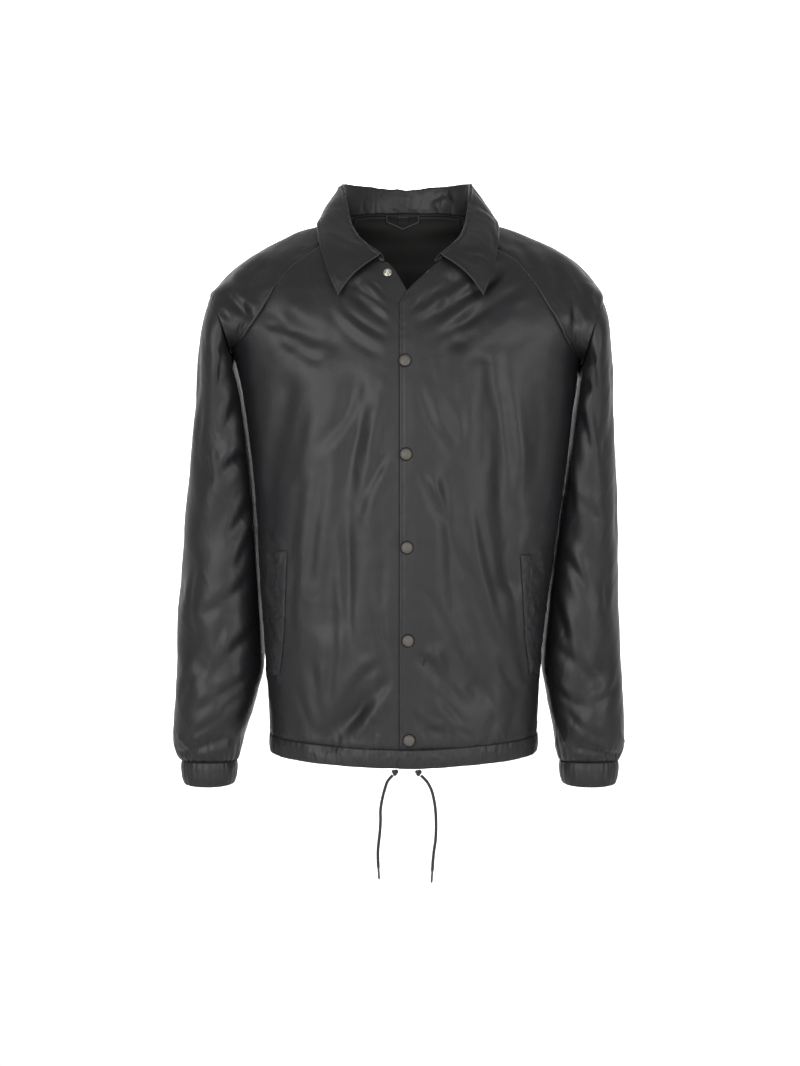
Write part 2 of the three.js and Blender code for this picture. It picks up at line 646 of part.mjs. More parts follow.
// The shoulder piece runs from the neck (u 0) to the armhole (u 1) and from front seam to back seam.
function makeShoulder(side) {
  const ringTurn = (v) => mix(armholeOpen, 360 - armholeOpen, v);
  const ringPlace = (v) => {
    const point = armholePoint(side, ringTurn(v));
    const size = bodySize(point.z);
    const turn = Math.atan2(point.x - size.midX, size.midY - point.y) / degree;
    return { turn, z: point.z };
  };
  const neck = (v) => {
    const turn = side * mix(neckFrontTurn, neckBackTurn, v);
    return { turn, z: neckHeight(turn) };
  };
  const place = patchBetween(
    neck,
    ringPlace,
    (u) => (u === 1 ? ringPlace(0) : raglan(side, 1, u)),
    (u) => (u === 1 ? ringPlace(1) : raglan(side, -1, u)),
    yokeHold,
  );
  const reachOut = (v) => {
    const { turn, z } = ringPlace(v);
    return armholePoint(side, ringTurn(v)).sub(bodyPoint(turn, z));
  };
  const outAt = (v, u) => {
    const { turn, z } = place(v, u);
    return bodyNormal(turn, z).lerp(armholeOut(side, ringTurn(v)), u ** 8).normalize();
  };
  const outer = grid(armholeSteps, seamSteps, (v, u) => {
    const { turn, z } = place(v, u);
    const fold = bodyFold(turn, z) * (1 - u ** 8);
    const late = mix(12, 3, ease(Math.min(v, 1 - v) / 0.25));
    return bodyPoint(turn, z)
      .addScaledVector(reachOut(v), u ** late)
      .addScaledVector(outAt(v, u), -fold);
  });
  // The inner face lies square under the outer one, turning to the ring's own direction at the armhole
  const inner = outer.map((line, i) =>
    line.map((point, j) => {
      const across = outer[Math.min(i + 1, armholeSteps)][j].clone().sub(outer[Math.max(i - 1, 0)][j]);
      const down = line[Math.min(j + 1, seamSteps)].clone().sub(line[Math.max(j - 1, 0)]);
      const square = across.cross(down).normalize();
      const u = j / seamSteps;
      const out = outAt(i / armholeSteps, u);
      square.multiplyScalar(Math.sign(square.dot(out)));
      return point.clone().addScaledVector(square.lerp(out, u ** 3).normalize(), -clothWall);
    }),
  );
  return wall(partEdges(outer, seamGap / 2), partEdges(inner, seamGap / 2), false);
}

function sleeveFold(side, turn, down) {
  let depth = 0;
  for (const fold of sleeveFolds) {
    if (fold.side !== side) continue;
    const { turn1, down1, turn2, down2, width } = fold;
    depth += fold.depth * trough(turn / 600, down, turn1 / 600, down1, turn2 / 600, down2, width);
  }
  return depth * ease(down / 0.12) * ease((1 - down) / 0.06);
}

// Half the body's width beside a point, so that the sleeve lies just clear of it.
function besideBody(point) {
  const size = bodySize(point.z);
  const depth = point.y < size.midY ? size.front : size.back;
  const share = Math.min(Math.abs(point.y - size.midY) / depth, 1);
  return size.halfWidth * (1 - share ** size.power) ** (1 / size.power);
}

function makeSleeve(side) {
  const rows = sleeveRows[side];
  const ring = (turn, j) => {
    if (j === 0) {
      const { out, drop } = sleeveShift;
      return armholePoint(side, turn).add(new THREE.Vector3(side * out, 0, -drop));
    }
    const point = ringPoint(rows[j], turn, ringPower);
    const middle = new THREE.Vector3(
      (rows[j].inX + rows[j].outX) / 2,
      rows[j].midY,
      (rows[j].inZ + rows[j].outZ) / 2,
    );
    const inwards = middle.sub(point).normalize();
    point.addScaledVector(inwards, sleeveFold(side, turn, j / sleeveSteps));
    const size = bodySize(point.z);
    const limit = besideBody(point) + sleeveClear;
    if (point.z < armpitHeight[side] && Math.abs(point.x - size.midX) < limit) {
      point.x = size.midX + side * limit;
    }
    return point;
  };
  const turnOf = (i) => mix(armholeOpen, 360 - armholeOpen, i / armholeSteps);
  const turns = Array.from({ length: armholeSteps }, (_, i) => turnOf(i));
  const outer = turns.map((turn) => rows.map((_, j) => ring(turn, j)));
  const inner = outer.map((line, i) =>
    line.map((point, j) => {
      if (j === 0) return point.clone().addScaledVector(armholeOut(side, turns[i]), -clothWall);
      const before = outer[(i + armholeSteps - 1) % armholeSteps][j];
      const after = outer[(i + 1) % armholeSteps][j];
      const above = outer[i][j - 1];
      const below = outer[i][Math.min(j + 1, rows.length - 1)];
      const round = after.clone().sub(before);
      const down = below.clone().sub(above);
      const out = down.cross(round).normalize().multiplyScalar(side);
      return point.clone().addScaledVector(out, -clothWall);
    }),
  );
  return wall(outer, inner, true);
}

// Elasticated cuff: a short tube whose wall waves in and out with its gathers.
function makeCuff(side) {
  const sleeveEnd = sleeveRows[side][sleeveRows[side].length - 1];
  const steps = 2 * cuffGathers;
  const face = (lift) =>
    Array.from({ length: steps }, (_, i) => {
      const turn = (360 * i) / steps;
      const uneven = 0.75 + 0.25 * Math.cos(3 * turn * degree + 1);
      return cuffRows.map((row, j) => {
        const wave = (i % 2 ? -1 : 0.2) * gatherDepth * uneven * (j === 0 ? 0.5 : 1);
        const grow = row.grow + lift + wave;
        const cut = {
          inX: sleeveEnd.inX + side * (-grow + row.lean),
          outX: sleeveEnd.outX + side * (grow - row.lean),
          inZ: sleeveEnd.inZ - row.drop,
          outZ: sleeveEnd.outZ - row.drop,
          midY: sleeveEnd.midY,
          halfDepth: sleeveEnd.halfDepth + grow,
        };
        const point = ringPoint(cut, turn, ringPower);
        const frontness = Math.max(Math.sin(turn * degree), 0);
        point.z -= cuffFrontDip * frontness * (row.drop / 28);
        return point;
      });
    });
  return wall(face(0), face(-cuffWall), true);
}

// A stretch of the drawcord casing, slightly puckered, between two turns.
function makeCasing(from, to, steps, side) {
  const face = (lift, wavy) =>
    grid(steps, 2, (u, v) => {
      const turn = mix(from, to, u);
      const z = mix(hemLine(turn) + casingHeight - layerGap, hemLine(turn), v);
      const pucker = Math.round(u * steps) % 2 ? -casingPucker : 0;
      const over = casingLap * (lapLift(side, bodyPoint(turn, z).x) / overlapLift);
      const full = v === 0.5 ? casingFullness : 0;
      return clothPoint(turn, z, lift + over + (wavy ? pucker + full : 0));
    });
  const outer = partEdges(face(casingProud, true), seamGap / 2);
  return wall(outer, partEdges(face(casingProud - casingWall, false), seamGap / 2), false);
}

function collarRow(turn) {
  const round = turn > 180 ? 360 - turn : turn;
  const side = turn > 180 ? -1 : 1;
  const row = {};
  for (const column of ["midX", "crest", "crestY", "crestZ", "edge", "edgeY", "edgeZ"]) {
    row[column] = readTable(collarRows, "turn", column, round);
  }
  row.top = new THREE.Vector3(row.midX + side * row.crest, row.crestY, row.crestZ);
  row.end = new THREE.Vector3(row.midX + side * row.edge, row.edgeY, row.edgeZ);
  const base = clothPoint(turn, neckHeight(turn), -collarInset);
  row.base = base.add(new THREE.Vector3(0, 0, collarRise));
  row.out = row.end.clone().sub(row.top).setZ(0).normalize();
  return row;
}

// Section of the folded collar: up the stand, over the crest and down the fall.
function collarPoint(turn, step) {
  const row = collarRow(turn);
  const { top, out } = row;
  const standTop = top.clone().addScaledVector(out, -foldRadius);
  const fallTop = top.clone().addScaledVector(out, foldRadius);
  if (step <= 2) return row.base.clone().lerp(standTop, step / 2);
  if (step <= 5) {
    const angle = Math.PI * (1 - (step - 2) / 3);
    const arc = top.clone().addScaledVector(out, foldRadius * Math.cos(angle));
    arc.z += foldRadius * Math.sin(angle);
    return arc;
  }
  const t = (step - 5) / 4;
  const roll = fallRoll * Math.sin(Math.PI * Math.min(t * 1.02, 1));
  const point = fallTop.clone().lerp(row.end, t).addScaledVector(out, roll * 0.8);
  point.z += roll * 0.5;
  return point;
}

function makeCollar() {
  const sectionSteps = 9;
  const turnOf = (u) => mix(collarFirstTurn, 360 - collarFirstTurn, u);
  const middle = grid(collarStations, sectionSteps, (u, v) => collarPoint(turnOf(u), v * sectionSteps));
  const face = (lift) =>
    middle.map((line, i) =>
      line.map((point, j) => {
        const round = middle[Math.min(i + 1, collarStations)][j].clone().sub(middle[Math.max(i - 1, 0)][j]);
        const down = line[Math.min(j + 1, sectionSteps)].clone().sub(line[Math.max(j - 1, 0)]);
        return point.clone().addScaledVector(round.cross(down).normalize(), lift);
      }),
    );
  return wall(face(collarWall / 2), face(-collarWall / 2), false);
}

const liningDrop = clothWall + layerGap + 0.4;
const liningRows = 6;

// The lining's inner face, made from the upper rows of the back.
function liningFace(lift) {
  const rows = backFace(-liningDrop - lift).map((line) => line.slice(0, liningRows + 1));
  return partEdges(rows, 2);
}

// A point on the triangles of a wall's face, at a column and a row of its grid.
function onFace(face, column, row) {
  const i = Math.min(Math.max(Math.floor(column), 0), face.length - 2);
  const j = Math.min(Math.max(Math.floor(row), 0), face[0].length - 2);
  const [u, v] = [column - i, row - j];
  const [a, b, c, d] = [face[i][j], face[i][j + 1], face[i + 1][j + 1], face[i + 1][j]];
  const point = a.clone();
  if (isSlanting(a, b, c, d)) {
    if (u + v < 1) return point.addScaledVector(d.clone().sub(a), u).addScaledVector(b.clone().sub(a), v);
    return c.clone().addScaledVector(b.clone().sub(c), 1 - u).addScaledVector(d.clone().sub(c), 1 - v);
  }
  if (v > u) return point.addScaledVector(c.clone().sub(b), u).addScaledVector(b.clone().sub(a), v);
  return point.addScaledVector(d.clone().sub(a), u).addScaledVector(c.clone().sub(d), v);
}

// The column and row at which a face passes a given x and z, found by repeated straight steps.
function findOnFace(face, x, z, start) {
  let [column, row] = start;
  for (let turns = 0; turns < 30; turns += 1) {
    const here = onFace(face, column, row);
    const overColumn = onFace(face, column + 0.05, row).sub(here).multiplyScalar(20);
    const overRow = onFace(face, column, row + 0.05).sub(here).multiplyScalar(20);
    const [dx, dz] = [x - here.x, z - here.z];
    const across = overColumn.x * overRow.z - overRow.x * overColumn.z;
    column += (0.7 * (dx * overRow.z - overRow.x * dz)) / across;
    row += (0.7 * (overColumn.x * dz - dx * overColumn.z)) / across;
  }
  return onFace(face, column, row);
}

// A small flat piece sewn inside the back neck: its lower edge falls to a blunt point.
function makePatch(face, width, drop, point, fromTop, over) {
  const middle = face[backSteps / 2][0];
  const below = face[backSteps / 2][1];
  const inwards = below.clone().sub(middle).cross(new THREE.Vector3(1, 0, 0)).normalize();
  const layer = (lift) =>
    grid(8, 2, (u, v) => {
      const x = middle.x - 4 + (u - 0.5) * width;
      const low = drop - point * Math.abs(2 * u - 1);
      const z = middle.z - fromTop - low * v;
      return findOnFace(face, x, z, [backSteps / 2, 0.5]).addScaledVector(inwards, lift);
    });
  return wall(layer(over), layer(over + patchWall), false);
}

function makeWelt(side, front) {
  const row = weltRows[side];
  const layer = (lift) =>
    grid(2, 15, (u, v) => {
      const z = mix(row.topZ, row.lowZ, v);
      const x = mix(row.topX, row.lowX, v) + side * (u - 0.5) * weltWidth * 0.8;
      const out = bodyNormal(turnAt(x, z, 1), z);
      return findOnFace(front, x, z, [frontSteps * 0.6, 14]).addScaledVector(out, lift);
    });
  return wall(layer(weltGap + clothWall), layer(weltGap), false);
}

// A round trim whose axis stands on the cloth.
function stand(name, profile, place, out, finish) {
  const points = profile.map(({ r, h }) => new THREE.Vector2(r, h));
  const piece = addPiece(name, new THREE.LatheGeometry(points, 14), finish);
  piece.quaternion.setFromUnitVectors(new THREE.Vector3(0, 1, 0), out);
  piece.position.copy(place);
}

const capProfile = [
  { r: 0, h: 0 },
  { r: snapRadius - 0.6, h: 0 },
  { r: snapRadius, h: 0.8 },
  { r: snapRadius - 0.8, h: snapHeight - 0.7 },
  { r: snapRadius * 0.62, h: snapHeight - 0.1 },
  { r: 0, h: snapHeight },
];
const studProfile = [
  { r: 0, h: 0 },
  { r: studRadius, h: 0 },
  { r: studRadius, h: 0.8 },
  { r: 2.2, h: 1.1 },
  { r: 2.4, h: 3.2 },
  { r: 0, h: 3.5 },
];
const socketProfile = [
  { r: 0, h: 0 },
  { r: studRadius - 0.6, h: 0 },
  { r: studRadius, h: 0.8 },
  { r: studRadius - 0.4, h: 2.6 },
  { r: 3, h: 2.6 },
  { r: 2.6, h: 1.2 },
  { r: 0, h: 1.2 },
];

function addSnaps(frontRight, frontLeft) {
  const seat = (face, inner, x, z) => {
    const out = bodyNormal(turnAt(x, z, 1), z);
    if (inner) out.negate();
    return { place: findOnFace(face, x, z, [1, 10]).addScaledVector(out, trimGap), out };
  };
  snapHeights.forEach((z, i) => {
    const x = snapStart + snapDrift * (z - snapHeights[0]);
    const { place, out } = seat(frontLeft[0], false, x, z);
    stand(`snap_cap_${i + 1}`, capProfile, place, out, "snap");
  });
  const stud = seat(frontRight[0], false, -22.5, -78);
  stand("top_stud", studProfile, stud.place, stud.out, "nickel");
  const socket = seat(frontLeft[1], true, 31.5, -80);
  stand("top_socket", socketProfile, socket.place, socket.out, "nickel");
}

function roundShape(radius, sides) {
  const shape = new THREE.Shape();
  for (let i = 0; i < sides; i += 1) {
    const turn = (2 * Math.PI * i) / sides;
    const [x, y] = [radius * Math.cos(turn), radius * Math.sin(turn)];
    if (i === 0) shape.moveTo(x, y);
    else shape.lineTo(x, y);
  }
  shape.closePath();
  return shape;
}

function addCord(end) {
  const points = cordRoutes[end].map(({ x, y, z }) => new THREE.Vector3(x, y, z));
  const middle = new THREE.Vector3().copy(knotPlaces[end]);
  const towards = points[0].clone().sub(middle).normalize();
  points.unshift(middle.clone().addScaledVector(towards, knotRadius + cordGap / 2));
  const route = new THREE.CatmullRomCurve3(points);
  const tube = { steps: 14, bevelEnabled: false, extrudePath: route };
  addPiece(`drawcord_${end}`, new THREE.ExtrudeGeometry(roundShape(cordRadius, 8), tube), "cord");
  const knot = new THREE.SphereGeometry(knotRadius, 12, 8);
  addPiece(`cord_knot_${end}`, knot, "cord").position.copy(middle);
  const last = points[points.length - 1];
  const way = last.clone().sub(points[points.length - 2]).normalize();
  const start = last.clone().addScaledVector(way, cordGap);
  const tipRoute = new THREE.LineCurve3(start, start.clone().addScaledVector(way, tipLength));
  const tip = { steps: 2, bevelEnabled: false, extrudePath: tipRoute };
  addPiece(`cord_tip_${end}`, new THREE.ExtrudeGeometry(roundShape(tipRadius, 8), tip), "tip");
}

const fronts = { "-1": frontFaces(-1), 1: frontFaces(1) };
addPiece("back", makeBack(), "nylon");
for (const [name, side] of [["right", -1], ["left", 1]]) {
  addPiece(`front_${name}`, wall(...fronts[side], false), "nylon");
  addPiece(`shoulder_${name}`, makeShoulder(side), "nylon");
  addPiece(`sleeve_${name}`, makeSleeve(side), "nylon");
  addPiece(`cuff_${name}`, makeCuff(side), "nylon");
  addPiece(`welt_${name}`, makeWelt(side, fronts[side][0]), "nylon");
  addCord(name);
}
const hemZ = hemLine(0) + casingHeight / 2;
addPiece("hem_right", makeCasing(turnAt(underlapEdge, hemZ, 1), -sideTurn, 20, -1), "nylon");
addPiece("hem_left", makeCasing(turnAt(overlapEdge, hemZ, 1), sideTurn, 20, 1), "nylon");
addPiece("hem_back", makeCasing(sideTurn, 360 - sideTurn, 36, 0), "nylon");
addPiece("collar", makeCollar(), "nylon");
const liningInside = liningFace(liningWall);
addPiece("lining_back", wall(liningFace(0), liningInside, false), "lining");
addPiece("neck_patch", makePatch(liningInside, 46, 17, 9, 1, layerGap), "lining");
addPiece("neck_label", makePatch(liningInside, 14, 9, 0, 2, 2 * layerGap + patchWall), "label");
addSnaps(fronts[-1], fronts[1]);

export default jacket;
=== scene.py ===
import math

import bmesh
import bpy
import numpy as np
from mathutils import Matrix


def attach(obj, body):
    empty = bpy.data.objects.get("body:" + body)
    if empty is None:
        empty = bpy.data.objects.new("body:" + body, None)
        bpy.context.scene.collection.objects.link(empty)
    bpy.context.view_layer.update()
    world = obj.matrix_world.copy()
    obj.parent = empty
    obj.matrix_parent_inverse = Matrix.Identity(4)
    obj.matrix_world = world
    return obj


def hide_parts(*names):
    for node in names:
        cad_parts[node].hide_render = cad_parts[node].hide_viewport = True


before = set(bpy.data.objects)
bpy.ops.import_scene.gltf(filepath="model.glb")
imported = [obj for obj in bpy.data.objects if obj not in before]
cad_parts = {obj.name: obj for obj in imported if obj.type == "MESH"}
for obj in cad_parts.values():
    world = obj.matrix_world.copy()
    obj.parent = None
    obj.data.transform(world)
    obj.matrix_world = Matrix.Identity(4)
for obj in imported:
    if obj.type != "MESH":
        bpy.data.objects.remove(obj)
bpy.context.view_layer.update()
mm = 0.001
print("frame loaded")

# Camera: level, straight at the front, as the photograph was taken
camera = {
    "place": (-6.65, -2400, -409.6),  # mm
    "frameHeight": 1418,  # mm seen from top to bottom at the origin's depth
    "sensor": 24,
}
cameraData = bpy.data.cameras.new("camera")
cameraData.sensor_fit = "VERTICAL"
cameraData.sensor_height = camera["sensor"]
cameraData.lens = camera["sensor"] * -camera["place"][1] / camera["frameHeight"]
cameraData.clip_end = 50
cameraObject = bpy.data.objects.new("camera", cameraData)
cameraObject.location = [c * mm for c in camera["place"]]
cameraObject.rotation_euler = (math.radians(90), 0, 0)
bpy.context.scene.collection.objects.link(cameraObject)
bpy.context.scene.camera = cameraObject


# Small tools for numbers

def mix(a, b, t):
    return a + (b - a) * t


def ease(t):
    t = np.clip(t, 0, 1)
    return t * t * (3 - 2 * t)


def unit(v):
    return v / np.maximum(np.linalg.norm(v, axis=-1, keepdims=True), 1e-9)


# Cubic steps through (keys, values); the slope at a key is the harmonic mean of the rises on its two sides
def smoothRead(keys, values, at):
    keys = np.asarray(keys, float)
    values = np.asarray(values, float)
    if keys[0] > keys[-1]:
        keys, values = keys[::-1], values[::-1]
    at = np.clip(at, keys[0], keys[-1])
    step = np.diff(keys)
    rise = np.diff(values) / step
    product = rise[:-1] * rise[1:]
    inner = np.where(product > 0, 2 * product / np.where(product > 0, rise[:-1] + rise[1:], 1), 0)
    slope = np.concatenate([rise[:1], inner, rise[-1:]])
    i = np.clip(np.searchsorted(keys, at, "right") - 1, 0, len(keys) - 2)
    t = (at - keys[i]) / step[i]
    return (
        values[i] * (2 * t**3 - 3 * t**2 + 1)
        + slope[i] * step[i] * (t**3 - 2 * t**2 + t)
        + values[i + 1] * (3 * t**2 - 2 * t**3)
        + slope[i + 1] * step[i] * (t**3 - t**2)
    )


# Smooth noise from -1 to 1: random values on a square lattice, blended with eased steps between them
def softNoise(a, b, size, seed):
    table = np.random.RandomState(seed).uniform(-1, 1, (64, 64))
    x, y = np.asarray(a) / size, np.asarray(b) / size
    i, j = np.floor(x).astype(int), np.floor(y).astype(int)
    s, t = ease(x - i), ease(y - j)
    top = mix(table[i % 64, j % 64], table[(i + 1) % 64, j % 64], s)
    low = mix(table[i % 64, (j + 1) % 64], table[(i + 1) % 64, (j + 1) % 64], s)
    return mix(top, low, t)


# Sharp little creases: one where the noise passes zero, none far from it
def crumple(a, b, size, seed):
    turned = 0.8 * a + 0.6 * b, -0.6 * a + 0.8 * b
    one = 1 - np.abs(softNoise(a, b, size, seed)) * 2.2
    two = 1 - np.abs(softNoise(turned[0], turned[1], size * 0.6, seed + 1)) * 2.2
    return 0.65 * np.clip(one, 0, 1) ** 2 + 0.35 * np.clip(two, 0, 1) ** 2


# Height of listed creases. Each is a bent line through three points; across it the cloth falls in a
# bell-shaped trough and rises in a lower ridge on one side, and both fade towards the line's ends
def creases(a, b, rows):
    height = np.zeros(np.broadcast(a, b).shape)
    for a1, b1, a2, b2, a3, b3, width, depth, ridge in rows:
        t = np.linspace(0, 1, 9)
        ca, cb = 2 * a2 - (a1 + a3) / 2, 2 * b2 - (b1 + b3) / 2
        la = (1 - t) ** 2 * a1 + 2 * t * (1 - t) * ca + t**2 * a3
        lb = (1 - t) ** 2 * b1 + 2 * t * (1 - t) * cb + t**2 * b3
        reach = 4 * width
        near = (a > la.min() - reach) & (a < la.max() + reach) & (b > lb.min() - reach) & (b < lb.max() + reach)
        pa, pb = a[near], b[near]
        if pa.size == 0:
            continue
        best = np.full(pa.shape, 1e9)
        along = np.zeros(pa.shape)
        hand = np.ones(pa.shape)
        for n in range(8):
            da, db = la[n + 1] - la[n], lb[n + 1] - lb[n]
            s = np.clip(((pa - la[n]) * da + (pb - lb[n]) * db) / (da * da + db * db), 0, 1)
            qa, qb = pa - la[n] - s * da, pb - lb[n] - s * db
            away = np.hypot(qa, qb)
            closer = away < best
            best = np.where(closer, away, best)
            along = np.where(closer, (n + s) / 8, along)
            hand = np.where(closer, np.sign(da * qb - db * qa), hand)
        fade = ease(along / 0.3) * ease((1 - along) / 0.3)
        swell = 1 + 0.25 * np.sin(9 * along + a1)
        trough = np.exp(-((best / width) ** 2))
        bank = np.exp(-(((best * hand * np.sign(ridge) - 1.9 * width) / (1.2 * width)) ** 2))
        height[near] += depth * fade * swell * (abs(ridge) * bank - trough)
    return height


# Mesh tools

def newObject(name, mesh, slot, *materials):
    piece = bpy.data.objects.new(name, mesh)
    bpy.context.scene.collection.objects.link(piece)
    for material in materials:
        mesh.materials.append(material)
    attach(piece, "root")
    return piece


def meshFrom(name, points, corners, sides, uv=None):
    mesh = bpy.data.meshes.new(name)
    mesh.vertices.add(len(points))
    mesh.vertices.foreach_set("co", (points * mm).ravel())
    mesh.loops.add(corners.size)
    mesh.loops.foreach_set("vertex_index", corners.ravel())
    mesh.polygons.add(corners.size // sides)
    mesh.polygons.foreach_set("loop_start", np.arange(0, corners.size, sides))
    mesh.update(calc_edges=True)
    mesh.polygons.foreach_set("use_smooth", np.ones(corners.size // sides, bool))
    if uv is not None:
        layer = mesh.uv_layers.new(name="cloth")
        layer.data.foreach_set("uv", (uv[corners.ravel()] * mm).ravel())
    mesh.validate()
    return mesh


# Quads of a grid of columns and rows of points; a round grid joins its last column to its first
def gridQuads(columns, rows, round=False):
    i, j = np.meshgrid(np.arange(columns if round else columns - 1), np.arange(rows - 1), indexing="ij")
    nextI = (i + 1) % columns
    return np.stack([i * rows + j, i * rows + j + 1, nextI * rows + j + 1, nextI * rows + j], -1).reshape(-1, 4)


# Length along each column and row of a grid, in mm, as the cloth's own flat coordinates
def flatPlaces(points):
    across = np.linalg.norm(np.diff(points, axis=0), axis=-1)
    down = np.linalg.norm(np.diff(points, axis=1), axis=-1)
    a = np.concatenate([np.zeros((1, points.shape[1])), np.cumsum(across, 0)])
    b = np.concatenate([np.zeros((points.shape[0], 1)), np.cumsum(down, 1)], 1)
    a = a - a[a.shape[0] // 2]
    return np.stack([a, b], -1)


# Normals of a grid: the cross product of the steps along its columns and rows
def gridNormals(points, round=False):
    if round:
        wide = np.concatenate([points[-1:], points, points[:1]])
        across = wide[2:] - wide[:-2]
    else:
        across = np.gradient(points, axis=0)
    return unit(np.cross(across, np.gradient(points, axis=1)))


# A sheet of cloth from a grid of its outer face; the wall goes inwards and shows the lining inside
def clothSheet(name, points, outwards, wall, slot, outside, inside, round=False, uv=None):
    quads = gridQuads(points.shape[0], points.shape[1], round)
    normals = gridNormals(points, round)
    if np.sum(normals * outwards) > 0:  # quads run the other way round than the grid's normals
        quads = quads[:, ::-1]
    uv = flatPlaces(points) if uv is None else uv
    mesh = meshFrom(name, points.reshape(-1, 3), quads, 4, uv.reshape(-1, 2))
    piece = newObject(name, mesh, slot, outside, inside)
    solid = piece.modifiers.new("wall", "SOLIDIFY")
    solid.thickness = wall * mm
    solid.offset = -1
    solid.material_offset = 1
    solid.use_even_offset = False
    return piece


# Works out the steps across and down a sheet, measured along the cloth, a round one joined last to first;
# nothing further is done with them
def declareCut(points, round=False):
    wide = np.concatenate([points, points[:1]]) if round else points
    across, down = np.diff(wide, axis=0), np.diff(points, axis=1)
    if round:
        down = np.concatenate([down, down[:1]])


# A tube of the given radius along a path: rings square to the path, turned as little as possible
def tubeMesh(name, path, radius, sides, closed=False):
    count = len(path)
    way = unit(np.roll(path, -1, 0) - np.roll(path, 1, 0)) if closed else unit(np.gradient(path, axis=0))
    side = np.zeros_like(path)
    start = np.array([0.0, 1.0, 0.0]) if abs(way[0][1]) < 0.9 else np.array([1.0, 0.0, 0.0])
    for n in range(count):
        start = start - way[n] * np.dot(start, way[n])
        start /= np.linalg.norm(start)
        side[n] = start
    other = np.cross(way, side)
    turn = np.linspace(0, 2 * np.pi, sides, endpoint=False)
    radius = np.broadcast_to(radius, (count,))[:, None, None]
    rings = path[:, None] + radius * (np.cos(turn)[None, :, None] * side[:, None] + np.sin(turn)[None, :, None] * other[:, None])
    i, j = np.meshgrid(np.arange(count if closed else count - 1), np.arange(sides), indexing="ij")
    k, l = (i + 1) % count, (j + 1) % sides
    quads = np.stack([i * sides + j, i * sides + l, k * sides + l, k * sides + j], -1).reshape(-1, 4)
    points = rings.reshape(-1, 3)
    length = np.concatenate([[0], np.cumsum(np.linalg.norm(np.diff(path, axis=0), axis=1))])
    girth = 2 * np.pi * radius[:, 0] * (np.arange(sides) / sides)[None]
    uv = np.stack([girth, np.repeat(length[:, None], sides, 1)], -1).reshape(-1, 2)
    if not closed:
        ends = np.stack([path[0], path[-1]])
        base = len(points)
        points = np.concatenate([points, ends])
        uv = np.concatenate([uv, [[0, length[0]], [0, length[-1]]]])
        j = np.arange(sides)
        l = (j + 1) % sides
        first = np.stack([np.full(sides, base), l, j, j], -1)
        low = (count - 1) * sides
        last = np.stack([np.full(sides, base + 1), low + j, low + l, low + l], -1)
        caps = np.concatenate([first, last])[:, :3]
        mesh = bpy.data.meshes.new(name)
        mesh.from_pydata((points * mm).tolist(), [], quads.tolist() + caps.tolist())
        layer = mesh.uv_layers.new(name="cloth")
        index = np.zeros(len(mesh.loops), int)
        mesh.loops.foreach_get("vertex_index", index)
        layer.data.foreach_set("uv", (uv[index] * mm).ravel())
        mesh.polygons.foreach_set("use_smooth", np.ones(len(mesh.polygons), bool))
        mesh.update()
        return mesh
    return meshFrom(name, points, quads, 4, uv)


# Points evenly spaced along a smooth curve through the given ones: Catmull-Rom pieces, then equal steps
def smoothPath(points, spacing):
    points = np.asarray(points, float)
    wide = np.concatenate([[2 * points[0] - points[1]], points, [2 * points[-1] - points[-2]]])
    t = np.linspace(0, 1, 12, endpoint=False)[:, None]
    a, b, c, d = wide[:-3, None], wide[1:-2, None], wide[2:-1, None], wide[3:, None]
    fine = 0.5 * (2 * b + (c - a) * t + (2 * a - 5 * b + 4 * c - d) * t**2 + (3 * b - a - 3 * c + d) * t**3)
    fine = np.concatenate([fine.reshape(-1, 3), points[-1:]])
    return evenPath(fine, spacing)


def evenPath(fine, spacing):
    length = np.concatenate([[0], np.cumsum(np.linalg.norm(np.diff(fine, axis=0), axis=1))])
    count = max(int(round(length[-1] / spacing)), 2)
    at = np.linspace(0, length[-1], count + 1)
    return np.stack([np.interp(at, length, fine[:, k]) for k in range(fine.shape[1])], -1)


# A turned piece: a profile of (radius, height) round an axis that stands at a place
def turnedMesh(name, profile, place, axis, sides=40):
    profile = np.asarray(profile, float)
    axis = unit(np.asarray(axis, float))
    side = unit(np.cross(axis, [0.0, 0.0, 1.0]))
    other = np.cross(axis, side)
    turn = np.linspace(0, 2 * np.pi, sides, endpoint=False)
    ring = np.cos(turn)[:, None] * side + np.sin(turn)[:, None] * other
    points = place + profile[None, :, :1] * ring[:, None] + profile[None, :, 1:] * axis
    quads = gridQuads(sides, len(profile), True)
    mesh = meshFrom(name, points.reshape(-1, 3), quads, 4)
    mergeDoubles(mesh)
    return mesh


def mergeDoubles(mesh):
    work = bmesh.new()
    work.from_mesh(mesh)
    bmesh.ops.remove_doubles(work, verts=work.verts, dist=1e-6)
    bmesh.ops.recalc_face_normals(work, faces=work.faces)
    work.to_mesh(mesh)
    work.free()


# Materials

def colour(code):
    parts = [int(code[n : n + 2], 16) / 255 for n in (1, 3, 5)]
    return [p / 12.92 if p <= 0.04045 else ((p + 0.055) / 1.055) ** 2.4 for p in parts] + [1]


# Adds one node: its settings by name, its inputs by name, a value or another node's (node, output)
def addNode(tree, kind, settings=None, inputs=None):
    node = tree.nodes.new(kind)
    for key, value in (settings or {}).items():
        setattr(node, key, value)
    for key, value in (inputs or {}).items():
        if isinstance(value, tuple) and hasattr(value[0], "outputs"):
            tree.links.new(value[0].outputs[value[1]], node.inputs[key])
        else:
            node.inputs[key].default_value = value
    return node


def newMaterial(name):
    material = bpy.data.materials.new(name)
    material.use_nodes = True
    tree = material.node_tree
    shader = tree.nodes["Principled BSDF"]
    return material, tree, shader


